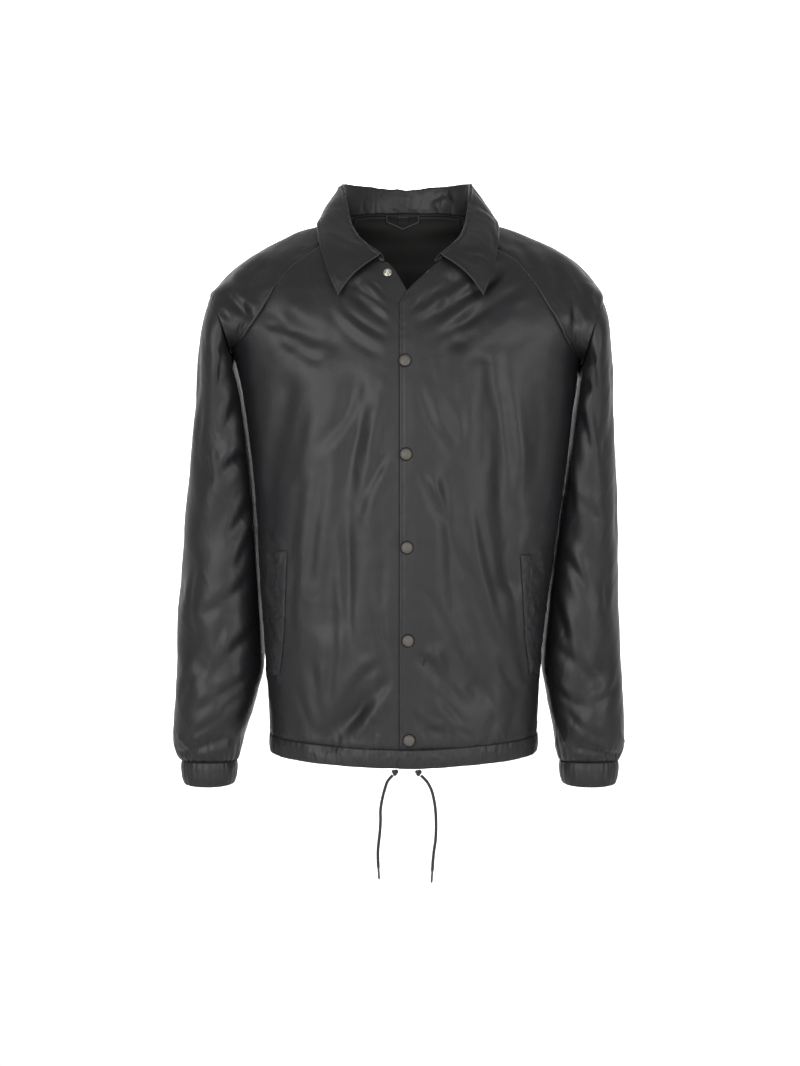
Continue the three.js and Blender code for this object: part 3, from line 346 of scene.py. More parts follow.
# Calendered nylon taffeta: close plain weave, pressed smooth, so folds catch broad soft lights
nylon = {
    "dark": "#0E0E10",
    "light": "#161619",
    "roughness": 0.47,
    "index": 1.43,
    "sheen": 0.015,
    "threadMm": 1.1,  # real threads are 0.15 mm; drawn coarser so that they show
    "weaveHeight": 0.05,
    "creaseHeight": 0.35,
}


def makeNylon(name, look):
    material, tree, shader = newMaterial(name)
    place = addNode(tree, "ShaderNodeUVMap", {"uv_map": "cloth"})
    where = addNode(tree, "ShaderNodeTexCoord")
    scale = 1 / (look["threadMm"] * mm)
    warp = addNode(
        tree,
        "ShaderNodeTexWave",
        {"wave_type": "BANDS", "bands_direction": "X"},
        {"Vector": (place, "UV"), "Scale": scale / 20, "Distortion": 0.6, "Detail": 1, "Detail Scale": 2},
    )
    weft = addNode(
        tree,
        "ShaderNodeTexWave",
        {"wave_type": "BANDS", "bands_direction": "Y"},
        {"Vector": (place, "UV"), "Scale": scale / 20, "Distortion": 0.6, "Detail": 1, "Detail Scale": 2},
    )
    weave = addNode(tree, "ShaderNodeMath", {"operation": "MULTIPLY"}, {0: (warp, "Fac"), 1: (weft, "Fac")})
    clouds = addNode(
        tree,
        "ShaderNodeTexNoise",
        None,
        {"Vector": (where, "Object"), "Scale": 9, "Detail": 4, "Roughness": 0.55},
    )
    slubs = addNode(tree, "ShaderNodeMapping", None, {"Vector": (place, "UV"), "Scale": (900, 40, 1)})
    streaks = addNode(tree, "ShaderNodeTexNoise", None, {"Vector": (slubs, "Vector"), "Scale": 1, "Detail": 2})
    share = addNode(tree, "ShaderNodeMath", {"operation": "MULTIPLY"}, {0: (clouds, "Fac"), 1: (streaks, "Fac")})
    ramp = addNode(tree, "ShaderNodeValToRGB", None, {"Fac": (share, "Value")})
    ramp.color_ramp.elements[0].position = 0.12
    ramp.color_ramp.elements[0].color = colour(look["dark"])
    ramp.color_ramp.elements[1].position = 0.42
    ramp.color_ramp.elements[1].color = colour(look["light"])
    ruck = addNode(
        tree,
        "ShaderNodeTexNoise",
        None,
        {"Vector": (where, "Object"), "Scale": 55, "Detail": 3, "Roughness": 0.5, "Distortion": 0.4},
    )
    small = addNode(
        tree, "ShaderNodeBump", None, {"Strength": 0.5, "Distance": look["creaseHeight"] * mm, "Height": (ruck, "Fac")}
    )
    fine = addNode(
        tree,
        "ShaderNodeBump",
        None,
        {"Strength": 0.6, "Distance": look["weaveHeight"] * mm, "Height": (weave, "Value"), "Normal": (small, "Normal")},
    )
    rough = addNode(
        tree,
        "ShaderNodeMapRange",
        None,
        {"Value": (clouds, "Fac"), "To Min": look["roughness"] - 0.05, "To Max": look["roughness"] + 0.07},
    )
    tree.links.new(ramp.outputs["Color"], shader.inputs["Base Color"])
    tree.links.new(rough.outputs["Result"], shader.inputs["Roughness"])
    tree.links.new(fine.outputs["Normal"], shader.inputs["Normal"])
    shader.inputs["IOR"].default_value = look["index"]
    shader.inputs["Sheen Weight"].default_value = look["sheen"]
    shader.inputs["Sheen Roughness"].default_value = 0.35
    return material


# Plain cloth and yarn finishes: a noisy colour and a fine bump
plainLooks = {
    "lining": {"name": "polyester lining, plain woven", "dark": "#060605", "light": "#0D0C0A", "rough": 0.7, "grain": 1500, "height": 0.06},
    "label": {"name": "satin label, woven", "dark": "#161616", "light": "#222221", "rough": 0.5, "grain": 2600, "height": 0.04},
    "tape": {"name": "binding tape, woven", "dark": "#4A4A48", "light": "#5E5E5C", "rough": 0.6, "grain": 2600, "height": 0.05},
    "thread": {"name": "polyester sewing thread, spun", "dark": "#060607", "light": "#0E0E10", "rough": 0.6, "grain": 3000, "height": 0.05},
    "tip": {"name": "cord tip, shrunk polymer sleeve", "dark": "#25241F", "light": "#38372F", "rough": 0.4, "grain": 1200, "height": 0.03},
}


def makePlain(look):
    material, tree, shader = newMaterial(look["name"])
    where = addNode(tree, "ShaderNodeTexCoord")
    grain = addNode(
        tree, "ShaderNodeTexNoise", None, {"Vector": (where, "Object"), "Scale": look["grain"], "Detail": 3}
    )
    ramp = addNode(tree, "ShaderNodeValToRGB", None, {"Fac": (grain, "Fac")})
    ramp.color_ramp.elements[0].position = 0.3
    ramp.color_ramp.elements[0].color = colour(look["dark"])
    ramp.color_ramp.elements[1].position = 0.7
    ramp.color_ramp.elements[1].color = colour(look["light"])
    bump = addNode(
        tree, "ShaderNodeBump", None, {"Strength": 0.6, "Distance": look["height"] * mm, "Height": (grain, "Fac")}
    )
    tree.links.new(ramp.outputs["Color"], shader.inputs["Base Color"])
    tree.links.new(bump.outputs["Normal"], shader.inputs["Normal"])
    shader.inputs["Roughness"].default_value = look["rough"]
    shader.inputs["IOR"].default_value = 1.5
    return material


# Braided polyester cord: two crossing sets of slanting strands
cordLook = {"dark": "#0A0907", "light": "#201F1B", "strandMm": 1.6, "height": 0.35}


def makeBraid(look):
    material, tree, shader = newMaterial("polyester cord, braided")
    place = addNode(tree, "ShaderNodeUVMap", {"uv_map": "cloth"})
    sets = []
    for slant in (0.62, -0.62):
        turned = addNode(tree, "ShaderNodeMapping", None, {"Vector": (place, "UV"), "Rotation": (0, 0, slant)})
        sets.append(
            addNode(
                tree,
                "ShaderNodeTexWave",
                {"wave_type": "BANDS", "bands_direction": "Y"},
                {"Vector": (turned, "Vector"), "Scale": 1 / (look["strandMm"] * mm * 20) * 2, "Distortion": 0.3},
            )
        )
    braid = addNode(tree, "ShaderNodeMath", {"operation": "MAXIMUM"}, {0: (sets[0], "Fac"), 1: (sets[1], "Fac")})
    ramp = addNode(tree, "ShaderNodeValToRGB", None, {"Fac": (braid, "Value")})
    ramp.color_ramp.elements[0].position = 0.35
    ramp.color_ramp.elements[0].color = colour(look["dark"])
    ramp.color_ramp.elements[1].color = colour(look["light"])
    bump = addNode(
        tree, "ShaderNodeBump", None, {"Strength": 0.9, "Distance": look["height"] * mm, "Height": (braid, "Value")}
    )
    tree.links.new(ramp.outputs["Color"], shader.inputs["Base Color"])
    tree.links.new(bump.outputs["Normal"], shader.inputs["Normal"])
    shader.inputs["Roughness"].default_value = 0.75
    shader.inputs["Sheen Weight"].default_value = 0.2
    return material


# Stamped metal: gunmetal paint on the caps, bright nickel on the open snap; the near-black ring round each cap's foot
# is painted shade where the cap meets the cloth
metalLooks = {
    "snap": {"name": "brass snap cap, painted gunmetal", "dark": "#3E3B38", "light": "#56524D", "rough": 0.5, "metal": 0.35},
    # ring: painted shade, a near-black ring round each cap's foot standing for the shade where the cap meets the cloth
    "ring": {"name": "painted shade ring round snap caps", "dark": "#14120F", "light": "#24211D", "rough": 0.45, "metal": 0.8},
    "nickel": {"name": "nickel-plated brass, polished", "dark": "#9B968C", "light": "#C9C5BC", "rough": 0.25, "metal": 1},
}


def makeMetal(look):
    material, tree, shader = newMaterial(look["name"])
    where = addNode(tree, "ShaderNodeTexCoord")
    wear = addNode(tree, "ShaderNodeTexNoise", None, {"Vector": (where, "Object"), "Scale": 900, "Detail": 4})
    ramp = addNode(tree, "ShaderNodeValToRGB", None, {"Fac": (wear, "Fac")})
    ramp.color_ramp.elements[0].position = 0.35
    ramp.color_ramp.elements[0].color = colour(look["dark"])
    ramp.color_ramp.elements[1].position = 0.6
    ramp.color_ramp.elements[1].color = colour(look["light"])
    rough = addNode(
        tree,
        "ShaderNodeMapRange",
        None,
        {"Value": (wear, "Fac"), "To Min": look["rough"] - 0.06, "To Max": look["rough"] + 0.1},
    )
    tree.links.new(ramp.outputs["Color"], shader.inputs["Base Color"])
    tree.links.new(rough.outputs["Result"], shader.inputs["Roughness"])
    shader.inputs["Metallic"].default_value = look["metal"]
    return material


nylonCloth = makeNylon("nylon taffeta, calendered", nylon)
finish = {key: makePlain(look) for key, look in plainLooks.items()}
finish.update({key: makeMetal(look) for key, look in metalLooks.items()})
finish["cord"] = makeBraid(cordLook)
print("materials made")


# Drawcord ends: each hangs from its knot under the hem and ends in its tip. Routes as in the CAD, in metres
cords = {
    "radius": 2.0,  # mm
    "knotRadius": 4.4,
    "gap": 0.15,
    "tipRadius": 1.5,
    "tipLength": 15,
    "routes": {
        "right": [
            (-0.0224, -0.1285, -0.7225), (-0.0262, -0.1285, -0.7333), (-0.0293, -0.128, -0.7459),
            (-0.0312, -0.1275, -0.7585), (-0.0312, -0.127, -0.7711), (-0.0318, -0.1265, -0.7837),
            (-0.0331, -0.1265, -0.7963), (-0.0344, -0.1265, -0.8089), (-0.0344, -0.1265, -0.8215),
            (-0.0339, -0.1265, -0.831),
        ],
        "left": [
            (0.0274, -0.13, -0.7227), (0.033, -0.13, -0.7333), (0.0362, -0.1295, -0.7459),
            (0.038, -0.129, -0.7585), (0.0387, -0.1285, -0.7711), (0.0387, -0.128, -0.7837),
            (0.0381, -0.128, -0.7963), (0.0362, -0.128, -0.8089), (0.0349, -0.128, -0.8215),
            (0.034, -0.128, -0.835),
        ],
    },
    "knots": {"right": (-0.013, -0.126, -0.7113), "left": (0.0165, -0.129, -0.7113)},
}
drawcords = {}
for end, side in (("right", -1), ("left", 1)):
    knotPlace = np.array(cords["knots"][end]) / mm
    route = np.array(cords["routes"][end]) / mm
    way = unit(route[0] - knotPlace)
    route = np.concatenate([[knotPlace + way * (cords["knotRadius"] + cords["gap"])], route])
    path = smoothPath(route, 2.5)
    cordPiece = newObject(
        f"cord_{end}", tubeMesh(f"cord_{end}", path, cords["radius"], 20), "cord", finish["cord"]
    )
    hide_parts(f"drawcord_{end}")
    # Overhand knot: a three-lobed closed curve, with the cord's short end standing out beside it
    t = np.linspace(0, 2 * np.pi, 72, endpoint=False)
    lobes = np.stack([np.sin(t) + 2 * np.sin(2 * t), -np.sin(3 * t), np.cos(t) - 2 * np.cos(2 * t)], -1)
    knotPiece = newObject(
        f"knot_{end}",
        tubeMesh(f"knot_{end}", knotPlace + lobes * [1.0, 1.5, 0.95], 1.75, 12, closed=True),
        "cord",
        finish["cord"],
    )
    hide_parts(f"cord_knot_{end}")
    lastWay = unit(path[-1] - path[-2])
    t = np.linspace(0, 1, 24)
    tipPath = path[-1] + lastWay * (0.3 + cords["tipLength"] * t)[:, None]
    swell = cords["tipRadius"] * (1 + 0.12 * np.exp(-((t / 0.08) ** 2)) + 0.05 * np.sin(t * 40)) * np.sqrt(np.clip(1.02 - t**14, 0.2, 1))
    tipPiece = newObject(f"tip_{end}", tubeMesh(f"tip_{end}", tipPath, swell, 16), "tip", finish["tip"])
    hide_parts(f"cord_tip_{end}")
    length = np.sum(np.linalg.norm(np.diff(path, axis=0), axis=1)) * mm
    drawcords[end] = float(length)
print("cords made", drawcords)


# Body: level cuts through body and shoulders as rounded ovals, blended from one to the next
body = {
    # z, middle x, half width, middle y, depth in front, depth behind, squareness
    "cuts": [
        (30, 3, 74, 5, 6, 81, 2), (20, 3, 85, 5, 7, 87, 2), (8, 3, 90, 5, 9, 92, 2), (-1, 3, 119, 4, 21, 97, 2),
        (-7, 2.5, 141, 4, 35, 100, 2), (-20, 4, 170, 4, 58, 105, 2), (-33, 6, 196, 4, 75, 110, 2),
        (-46, 6, 216, 3, 89, 114, 2.05), (-62, 5, 235, 2, 100, 120, 2.1), (-80, 4, 249, 0, 105, 127, 2.3),
        (-100, 2.5, 259.5, -4, 107.5, 134, 2.6), (-140, 3, 249, -12, 111, 146, 3), (-178, 3, 228, -18, 113, 154, 2.9),
        (-233, 5.5, 217, -22, 116, 160, 2.6), (-300, 5.8, 209, -23, 118, 160, 2.45), (-366, 4.5, 201, -23, 118, 154, 2.4),
        (-500, -1, 188, -20, 116, 144, 2.4), (-584, -2.5, 181, -18, 113, 138, 2.4), (-665, -2, 176, -16, 111, 132, 2.4),
        (-720, -2, 175, -15, 110, 129, 2.4),
    ],
    "neckSeam": [  # turn round the neck from the front, height
        (12, -66), (18, -63), (40, -42), (65, -15), (72, -7.5), (80, -1.5), (90, 7), (100, 11.5), (121, 20), (150, 28), (180, 30),
    ],
    "frontSeam": [  # out from the middle, height on the right, height on the left
        (85, -15, -15), (117, -36, -43), (138, -53, -60), (155, -72, -80), (170, -94, -102), (184, -118, -127),
        (199, -142, -154), (215, -163, -177),
    ],
    "backSeam": [
        (74, 20, 20), (104, -9, -9), (131, -31, -32), (154, -56, -58), (174, -84, -88), (190, -112, -119),
        (203, -138, -149), (216, -162, -175),
    ],
    "rightEdge": [(-160, 24), (-130, 17), (-104, 4), (-90, -4), (-76, -12), (-64, -22)],  # height, x
    "leftEdge": [(-118, -8), (-104, 1), (-90, 14), (-78, 27), (-64, 42)],
    "armpit": {-1: -178, 1: -193},
    "hem": -694, "hemFrontDip": 13, "hemBackDip": 5, "casing": 25,
    "overlapEdge": -8, "underlapEdge": 24, "overlapLift": 2.1, "overlapReach": 36, "overlapEase": 24,
    "neckFront": 65, "neckBack": 121, "raglanShare": 0.4, "yokeHold": 8, "tuck": 4,
    "wall": 0.7,  # mm of cloth
}
# Main folds, as in the solids: face, from x, z, to x, z, width, depth
mainFolds = [
    (1, -176, -128, -96, -168, 20, 4), (1, -62, -95, -20, -150, 10, 4), (1, -150, -230, -176, -400, 18, 5),
    (1, -62, -230, -92, -520, 20, 5), (1, -20, -590, -98, -672, 17, 8), (1, 118, -72, 70, -165, 13, 5),
    (1, 60, -90, 20, -170, 10, 4), (1, 112, -195, 132, -470, 16, 8), (1, 40, -350, 96, -600, 18, 5),
    (1, 34, -560, 92, -618, 14, 5), (-1, -150, -170, -60, -265, 24, 5), (-1, 150, -180, 70, -290, 24, 5),
    (-1, -90, -320, -120, -640, 22, 7), (-1, 30, -300, 20, -560, 24, 5), (-1, 112, -380, 96, -655, 20, 7),
]
cutTable = np.array(body["cuts"], float)
cutHeights = np.linspace(40, -730, 1541)
cutColumns = [smoothRead(cutTable[:, 0], cutTable[:, k], cutHeights) for k in range(1, 7)]


def bodySize(z):
    return [np.interp(-z, -cutHeights, column) for column in cutColumns]


# A point on the level cut at z, at a turn in degrees from the front middle towards the left side
def bodyPoint(turn, z):
    midX, halfWidth, midY, front, back, power = bodySize(z)
    across, forward = np.sin(np.radians(turn)), np.cos(np.radians(turn))
    depth = np.where(forward > 0, front, back)
    reach = (np.abs(across / halfWidth) ** power + np.abs(forward / depth) ** power) ** (-1 / power)
    return np.stack([midX + reach * across, midY - reach * forward, z + 0 * reach], -1)


def bodyNormal(turn, z):
    small = 0.5
    round = bodyPoint(turn + small, z) - bodyPoint(turn - small, z)
    up = bodyPoint(turn, z + small) - bodyPoint(turn, z - small)
    return unit(np.cross(round, up))


def turnAt(x, z, face):
    midX, halfWidth, midY, front, back, power = bodySize(z)
    share = np.minimum(np.abs((x - midX) / halfWidth), 1)
    depth = np.where(face > 0, front, back) * (1 - share**power) ** (1 / power)
    return np.degrees(np.arctan2(x - midX, face * depth))


def mainFold(turn, z):
    forward = np.cos(np.radians(turn))
    x = bodyPoint(turn, z)[..., 0]
    clear = np.where(forward > 0, ease((np.abs(x) - body["overlapReach"]) / body["overlapEase"]), 1)
    depth = 0
    for face, x1, z1, x2, z2, width, deep in mainFolds:
        dx, dz = x2 - x1, z2 - z1
        along = np.clip(((x - x1) * dx + (z - z1) * dz) / (dx * dx + dz * dz), 0, 1)
        away = np.hypot(x - x1 - dx * along, z - z1 - dz * along)
        depth = depth + (face * forward > 0) * deep * np.exp(-((away / width) ** 2)) * ease(np.abs(forward) / 0.25)
    return depth * clear


def neckHeight(turn):
    table = np.array(body["neckSeam"], float)
    round = np.abs(turn)
    return smoothRead(table[:, 0], table[:, 1], np.where(round > 180, 360 - round, round))


def hemLine(turn):
    forward = np.cos(np.radians(turn))
    return body["hem"] - np.where(forward > 0, body["hemFrontDip"], body["hemBackDip"]) * np.abs(forward)


def lapLift(side, x):
    return body["overlapLift"] * (1 - ease((x - body["overlapReach"]) / body["overlapEase"])) if side > 0 else 0 * x


def edgeX(side, z):
    table = np.array(body["rightEdge" if side < 0 else "leftEdge"], float)
    return smoothRead(table[:, 0], table[:, 1], np.clip(z, table[:, 0].min(), table[:, 0].max()))


# Turn and height along a raglan seam, 0 at the neck and 1 at the armpit
def raglan(side, face, down):
    rows = np.array(body["frontSeam" if face > 0 else "backSeam"], float)
    z = rows[:, 1 if side < 0 else 2]
    turn = turnAt(bodySize(z)[0] + side * rows[:, 0], z, face)
    turn, z = np.append(turn, side * 90), np.append(z, body["armpit"][side])
    steps = np.arange(9)
    return np.stack([smoothRead(steps, turn, down * 8), smoothRead(steps, z, down * 8)], -1)


# Side of a front or back panel: down the raglan seam, then down the side seam
def panelSide(side, face, down):
    share = body["raglanShare"]
    low = hemLine(90.0) + body["casing"] - body["tuck"]
    t = np.clip((down - share) / (1 - share), 0, 1)
    seam = np.stack([side * 90 + 0 * t, mix(body["armpit"][side], low, t)], -1)
    return np.where((down <= share)[:, None], raglan(side, face, np.minimum(down / share, 1)), seam)


# Fills a patch between four edges of (turn, height): the blend of the edges above and below, moved by what
# the side edges bulge. The hold says how soon a side's bulge fades: 1 evenly, more where it stays near it
def patchBetween(top, low, first, last, u, v, hold=1):
    u, v = u[:, None, None], v[None, :, None]
    firstBulge = first[None] - mix(top[0], low[0], v)
    lastBulge = last[None] - mix(top[-1], low[-1], v)
    return mix(top[:, None], low[:, None], v) + (1 - u) ** hold * firstBulge + u**hold * lastBulge


# Distance along the columns from the first and the last one, in mm
def fromEdges(points, axis):
    step = np.linalg.norm(np.diff(points, axis=axis), axis=-1)
    start = np.cumsum(np.concatenate([np.zeros_like(np.take(step, [0], axis)), step], axis), axis)
    return start, np.take(start, [-1], axis) - start


# A seam draws the cloth in: a narrow valley with puckers across it that die out away from it
def seamPull(away, along, seed, depth=1.1, width=2.2, pucker=0.9, reach=9):
    wave = softNoise(along, 0 * along, 5.5, seed) + 0.5 * softNoise(along, 0 * along, 2.6, seed + 3)
    long = 0.5 + 0.5 * softNoise(along, 0 * along, 22, seed + 5)
    return -depth * np.exp(-((away / width) ** 2)) + pucker * wave * long * np.exp(-((away / reach) ** 2)) * ease(away / 1.5)


# The cloth's own slackness: long soft swells and small crumples
def slack(a, b, seed, swell=0.8, small=0.35):
    return (
        swell * softNoise(a, b * 0.55, 42, seed)
        + 0.5 * swell * softNoise(a * 1.1 + 7, b * 0.6, 21, seed + 11)
        + small * (crumple(a, b * 0.7, 24, seed + 23) - 0.3)
    )


pieces = {}
seamLines = []  # name, points, normals: where stitches go


def stitchFrom(name, points, normals, pitch=3.4, long=2.5, radius=0.3):  # real thread is 0.2 mm thick; drawn coarser so that it shows
    seamLines.append({"name": name, "points": points, "normals": normals, "pitch": pitch, "long": long, "radius": radius})


# The line on a grid at a distance from one of its edges, found on every row between two columns
def lineAt(points, normals, away, distance, axis):
    if axis == 1:
        points, normals, away = points.swapaxes(0, 1), normals.swapaxes(0, 1), away.T
    count = away.shape[0]
    beyond = np.argmax(away >= distance, axis=0) if away[0, 0] < away[-1, 0] else count - np.argmax(away[::-1] >= distance, axis=0)
    high = np.clip(beyond, 1, count - 1)
    rows = np.arange(points.shape[1])
    a, b = away[high - 1, rows], away[high, rows]
    t = np.clip((distance - a) / np.where(np.abs(b - a) < 1e-6, 1, b - a), 0, 1)[:, None]
    return mix(points[high - 1, rows], points[high, rows], t), unit(mix(normals[high - 1, rows], normals[high, rows], t))


# Creases on the front, as the photograph shows them: x, z at start, middle, end; width, depth, ridge
frontCreases = {
    -1: [
        (-178, -118, -140, -152, -100, -176, 11, 4.5, 0.6), (-170, -150, -134, -180, -98, -196, 8, 3.2, 0.5),
        (-182, -140, -160, -150, -130, -158, 6, 1.6, 0.5),
        (-75, -100, -45, -125, -14, -150, 6, 2.4, 0.7), (-84, -118, -52, -146, -16, -166, 5, 1.8, -0.6),
        (-64, -92, -40, -112, -16, -132, 4, 1.8, 0.6), (-46, -88, -30, -102, -14, -118, 3, 1.2, 0.5),
        (-100, -120, -70, -160, -20, -192, 7, 1.8, 0.5),
        (-66, -200, -78, -262, -130, -318, 9, 2.6, 0.9), (-130, -318, -142, -400, -148, -470, 8, 2.2, 0.8),
        (-34, -212, -62, -290, -72, -380, 8, 3.0, 0.9), (-72, -360, -72, -470, -66, -590, 7, 2.8, -0.9),
        (-14, -304, -44, -346, -62, -404, 6, 2.4, 0.8), (-98, -300, -116, -400, -124, -500, 8, 2.2, 0.7),
        (-40, -250, -52, -300, -54, -340, 5, 1.5, 0.6), (-120, -230, -138, -300, -150, -360, 9, 1.8, 0.6),
        (-12, -588, -46, -622, -88, -668, 8, 5.0, 0.7), (-20, -566, -60, -600, -74, -640, 6, 2.0, -0.6),
        (-48, -480, -30, -540, -14, -592, 6, 1.8, 0.6), (-120, -560, -114, -610, -106, -664, 6, 1.8, 0.6),
        (-92, -520, -94, -580, -104, -650, 6, 1.6, 0.5), (-44, -640, -38, -655, -34, -668, 4, 1.4, 0.5),
        (-86, -636, -80, -652, -70, -668, 4, 1.3, -0.5), (-140, -600, -128, -640, -112, -668, 5, 1.8, 0.6),
        (-134, -430, -146, -500, -140, -570, 5, 1.6, 0.7), (-178, -430, -170, -444, -160, -452, 4, 2.2, 0.6),
        (-182, -470, -172, -486, -162, -498, 4, 1.8, -0.6), (-184, -520, -174, -532, -168, -546, 4, 1.6, 0.6),
        (-186, -560, -178, -580, -172, -610, 4, 1.4, 0.5), (-184, -400, -170, -424, -158, -430, 5, 1.6, 0.5),
        (-24, -430, -30, -500, -26, -560, 6, 1.4, 0.6), (-160, -250, -176, -330, -180, -400, 9, 1.8, 0.5),
    ],
    1: [
        (158, -88, 108, -122, 26, -170, 7, 3.2, 0.9), (134, -66, 84, -106, 14, -156, 6, 2.8, 0.9),
        (112, -84, 62, -116, 8, -150, 5, 2.4, -0.8), (54, -92, 28, -116, 6, -146, 4.5, 2.0, 0.8),
        (150, -108, 96, -146, 40, -184, 8, 2.2, 0.7), (34, -100, 18, -118, 0, -140, 3.5, 1.4, 0.6),
        (172, -150, 120, -176, 70, -190, 9, 1.6, 0.5),
        (14, -212, 34, -272, 66, -316, 6, 1.8, 0.7), (20, -196, 56, -250, 78, -290, 7, 1.4, 0.5),
        (116, -208, 130, -290, 138, -386, 8, 4.2, 0.8), (138, -360, 140, -400, 132, -440, 6, 2.2, 0.6),
        (16, -326, 32, -366, 50, -404, 6, 3.0, 0.9), (50, -392, 94, -500, 118, -570, 7, 2.6, 0.9),
        (86, -360, 104, -440, 128, -546, 6, 2.2, -0.9), (118, -560, 134, -596, 150, -626, 6, 2.2, 0.7),
        (20, -470, 56, -540, 84, -600, 7, 1.8, 0.7), (12, -556, 44, -592, 96, -650, 8, 4.0, 0.9),
        (28, -600, 60, -634, 84, -664, 6, 2.0, -0.6), (8, -628, 28, -656, 58, -660, 5, 2.4, 0.8),
        (10, -646, 24, -662, 34, -668, 3.5, 1.4, 0.6), (60, -652, 74, -662, 84, -668, 4, 1.4, 0.5),
        (136, -420, 142, -520, 160, -640, 6, 1.8, 0.7), (166, -440, 172, -456, 180, -462, 4, 2.0, 0.6),
        (164, -490, 172, -506, 182, -512, 4, 1.8, -0.6), (162, -540, 170, -556, 178, -560, 4, 1.4, 0.6),
        (96, -230, 100, -290, 96, -350, 7, 1.4, 0.6), (66, -220, 70, -270, 62, -330, 7, 1.2, 0.5),
        (158, -300, 150, -380, 146, -430, 8, 1.8, 0.6), (146, -604, 140, -640, 130, -668, 5, 1.6, 0.6),
        (100, -600, 112, -634, 110, -666, 5, 1.4, 0.5), (172, -230, 168, -320, 160, -400, 9, 1.6, 0.5),
    ],
}


def makeFront(side):
    name = "right" if side < 0 else "left"
    u, v = np.linspace(0, 1, 92), np.linspace(0, 1, 236)
    cornerZ, chestZ = -64.0, -205.0
    cornerTurn = turnAt(edgeX(side, np.array(cornerZ)), np.array(cornerZ), 1)
    topTurn = mix(cornerTurn, side * body["neckFront"], u)
    top = np.stack([topTurn, mix(cornerZ, neckHeight(topTurn), ease(u / 0.08))], -1)
    share = body["raglanShare"]
    low = hemLine(0.0) + body["casing"] - body["tuck"]
    edgeZ = np.where(v < share, mix(cornerZ, chestZ, v / share), mix(chestZ, low, (v - share) / (1 - share)))
    edge = np.stack([turnAt(edgeX(side, edgeZ), edgeZ, 1), edgeZ], -1)
    lowTurn = mix(edge[-1, 0], side * 90.0, u)
    bottom = np.stack([lowTurn, hemLine(lowTurn) + body["casing"] - body["tuck"]], -1)
    place = patchBetween(top, bottom, edge, panelSide(side, 1, v), u, v)
    turn, z = place[..., 0], place[..., 1]
    base, out = bodyPoint(turn, z), bodyNormal(turn, z)
    x = base[..., 0]
    fromFront, fromSide = fromEdges(base, 0)
    fromNeck, fromHem = fromEdges(base, 1)
    free = ease(fromFront / 26) if side > 0 else ease((fromFront - 34) / 20)  # the placket is stiffer and lies flat
    free = free * ease(fromSide / 9) * ease(fromNeck / 6)
    sideRow = np.broadcast_to(fromNeck[-1:], fromSide.shape)
    frontRow = np.broadcast_to(fromNeck[:1], fromSide.shape)
    topRow = np.broadcast_to(fromFront[:, :1], fromNeck.shape)
    hemRow = np.broadcast_to(fromFront[:, -1:], fromNeck.shape)
    lift = lapLift(side, x) - mainFold(turn, z)
    lift = lift + free * (0.75 * creases(x, z, frontCreases[side]) + slack(x, z, 40 + side))
    lift = lift + 0.25 * softNoise(fromFront, z, 13, 8 + side) * ease(fromSide / 9)
    lift = lift + seamPull(fromSide, sideRow, 60 + side, depth=1.0)
    lift = lift + seamPull(fromNeck, topRow, 70 + side, pucker=0.5)
    aboveHem = fromHem - body["tuck"]
    lift = lift + seamPull(np.maximum(aboveHem, 0), hemRow, 80 + side, pucker=1.3, reach=12)
    pocket = np.exp(-(((x - side * 168) / 20) ** 2)) * ease((-z - 400) / 40) * ease((z + 640) / 40)
    lift = lift + 2.2 * pocket * (crumple(x, z, 17, 90 + side) - 0.35)
    lift = lift + 1.2 * ease(aboveHem / 3) * np.exp(-((aboveHem / 26) ** 2)) * (crumple(x, z * 0.5, 15, 95 + side) - 0.3)
    if side > 0:  # the folded placket edge: a soft roll, a stitch line, and puckers between them
        roll = np.exp(-((fromFront / 1.2) ** 2))
        lift = lift - 0.9 * roll + seamPull(np.abs(fromFront - 4.6), frontRow, 99, depth=0.7, width=1.1, pucker=0.5, reach=3.5)
    else:
        lift = lift - 0.4 * np.exp(-((fromFront / 1.2) ** 2))
    points = base + out * lift[..., None]
    piece = clothSheet(f"front_panel_{name}", points, out, body["wall"], "nylon", nylonCloth, finish["lining"])
    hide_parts(f"front_{name}")
    normals = unit(gridNormals(points) * np.sign(np.sum(gridNormals(points) * out)))
    if side > 0:
        stitchFrom("placket", *lineAt(points, normals, fromFront, 4.6, 0))
    stitchFrom(f"hem_front_{name}", *lineAt(points, normals, aboveHem, 1.8, 1))
    pieces[f"front_{name}"] = (points, normals, x, z)
    declareCut(points)
    return piece


# The point and normal of a grid of points at given x and z: the nearest one, then one straight step
def dropOn(points, normals, x, z):
    x, z = np.broadcast_arrays(np.asarray(x, float), np.asarray(z, float))
    shape, count = x.shape, points.shape
    flat = points.reshape(-1, 3)
    away = (flat[None, :, 0] - x.reshape(-1, 1)) ** 2 + (flat[None, :, 2] - z.reshape(-1, 1)) ** 2
    i, j = np.unravel_index(np.argmin(away, axis=1), count[:2])
    i, j = np.clip(i, 1, count[0] - 2), np.clip(j, 1, count[1] - 2)
    overI, overJ = (points[i + 1, j] - points[i - 1, j]) / 2, (points[i, j + 1] - points[i, j - 1]) / 2
    dx, dz = x.ravel() - points[i, j, 0], z.ravel() - points[i, j, 2]
    cross = overI[:, 0] * overJ[:, 2] - overJ[:, 0] * overI[:, 2]
    s = (dx * overJ[:, 2] - overJ[:, 0] * dz) / cross
    t = (overI[:, 0] * dz - dx * overI[:, 2]) / cross
    s, t = np.clip(s, -1.5, 1.5)[:, None], np.clip(t, -1.5, 1.5)[:, None]
    found = points[i, j] + s * overI + t * overJ
    return found.reshape(shape + (3,)), normals[i, j].reshape(shape + (3,))


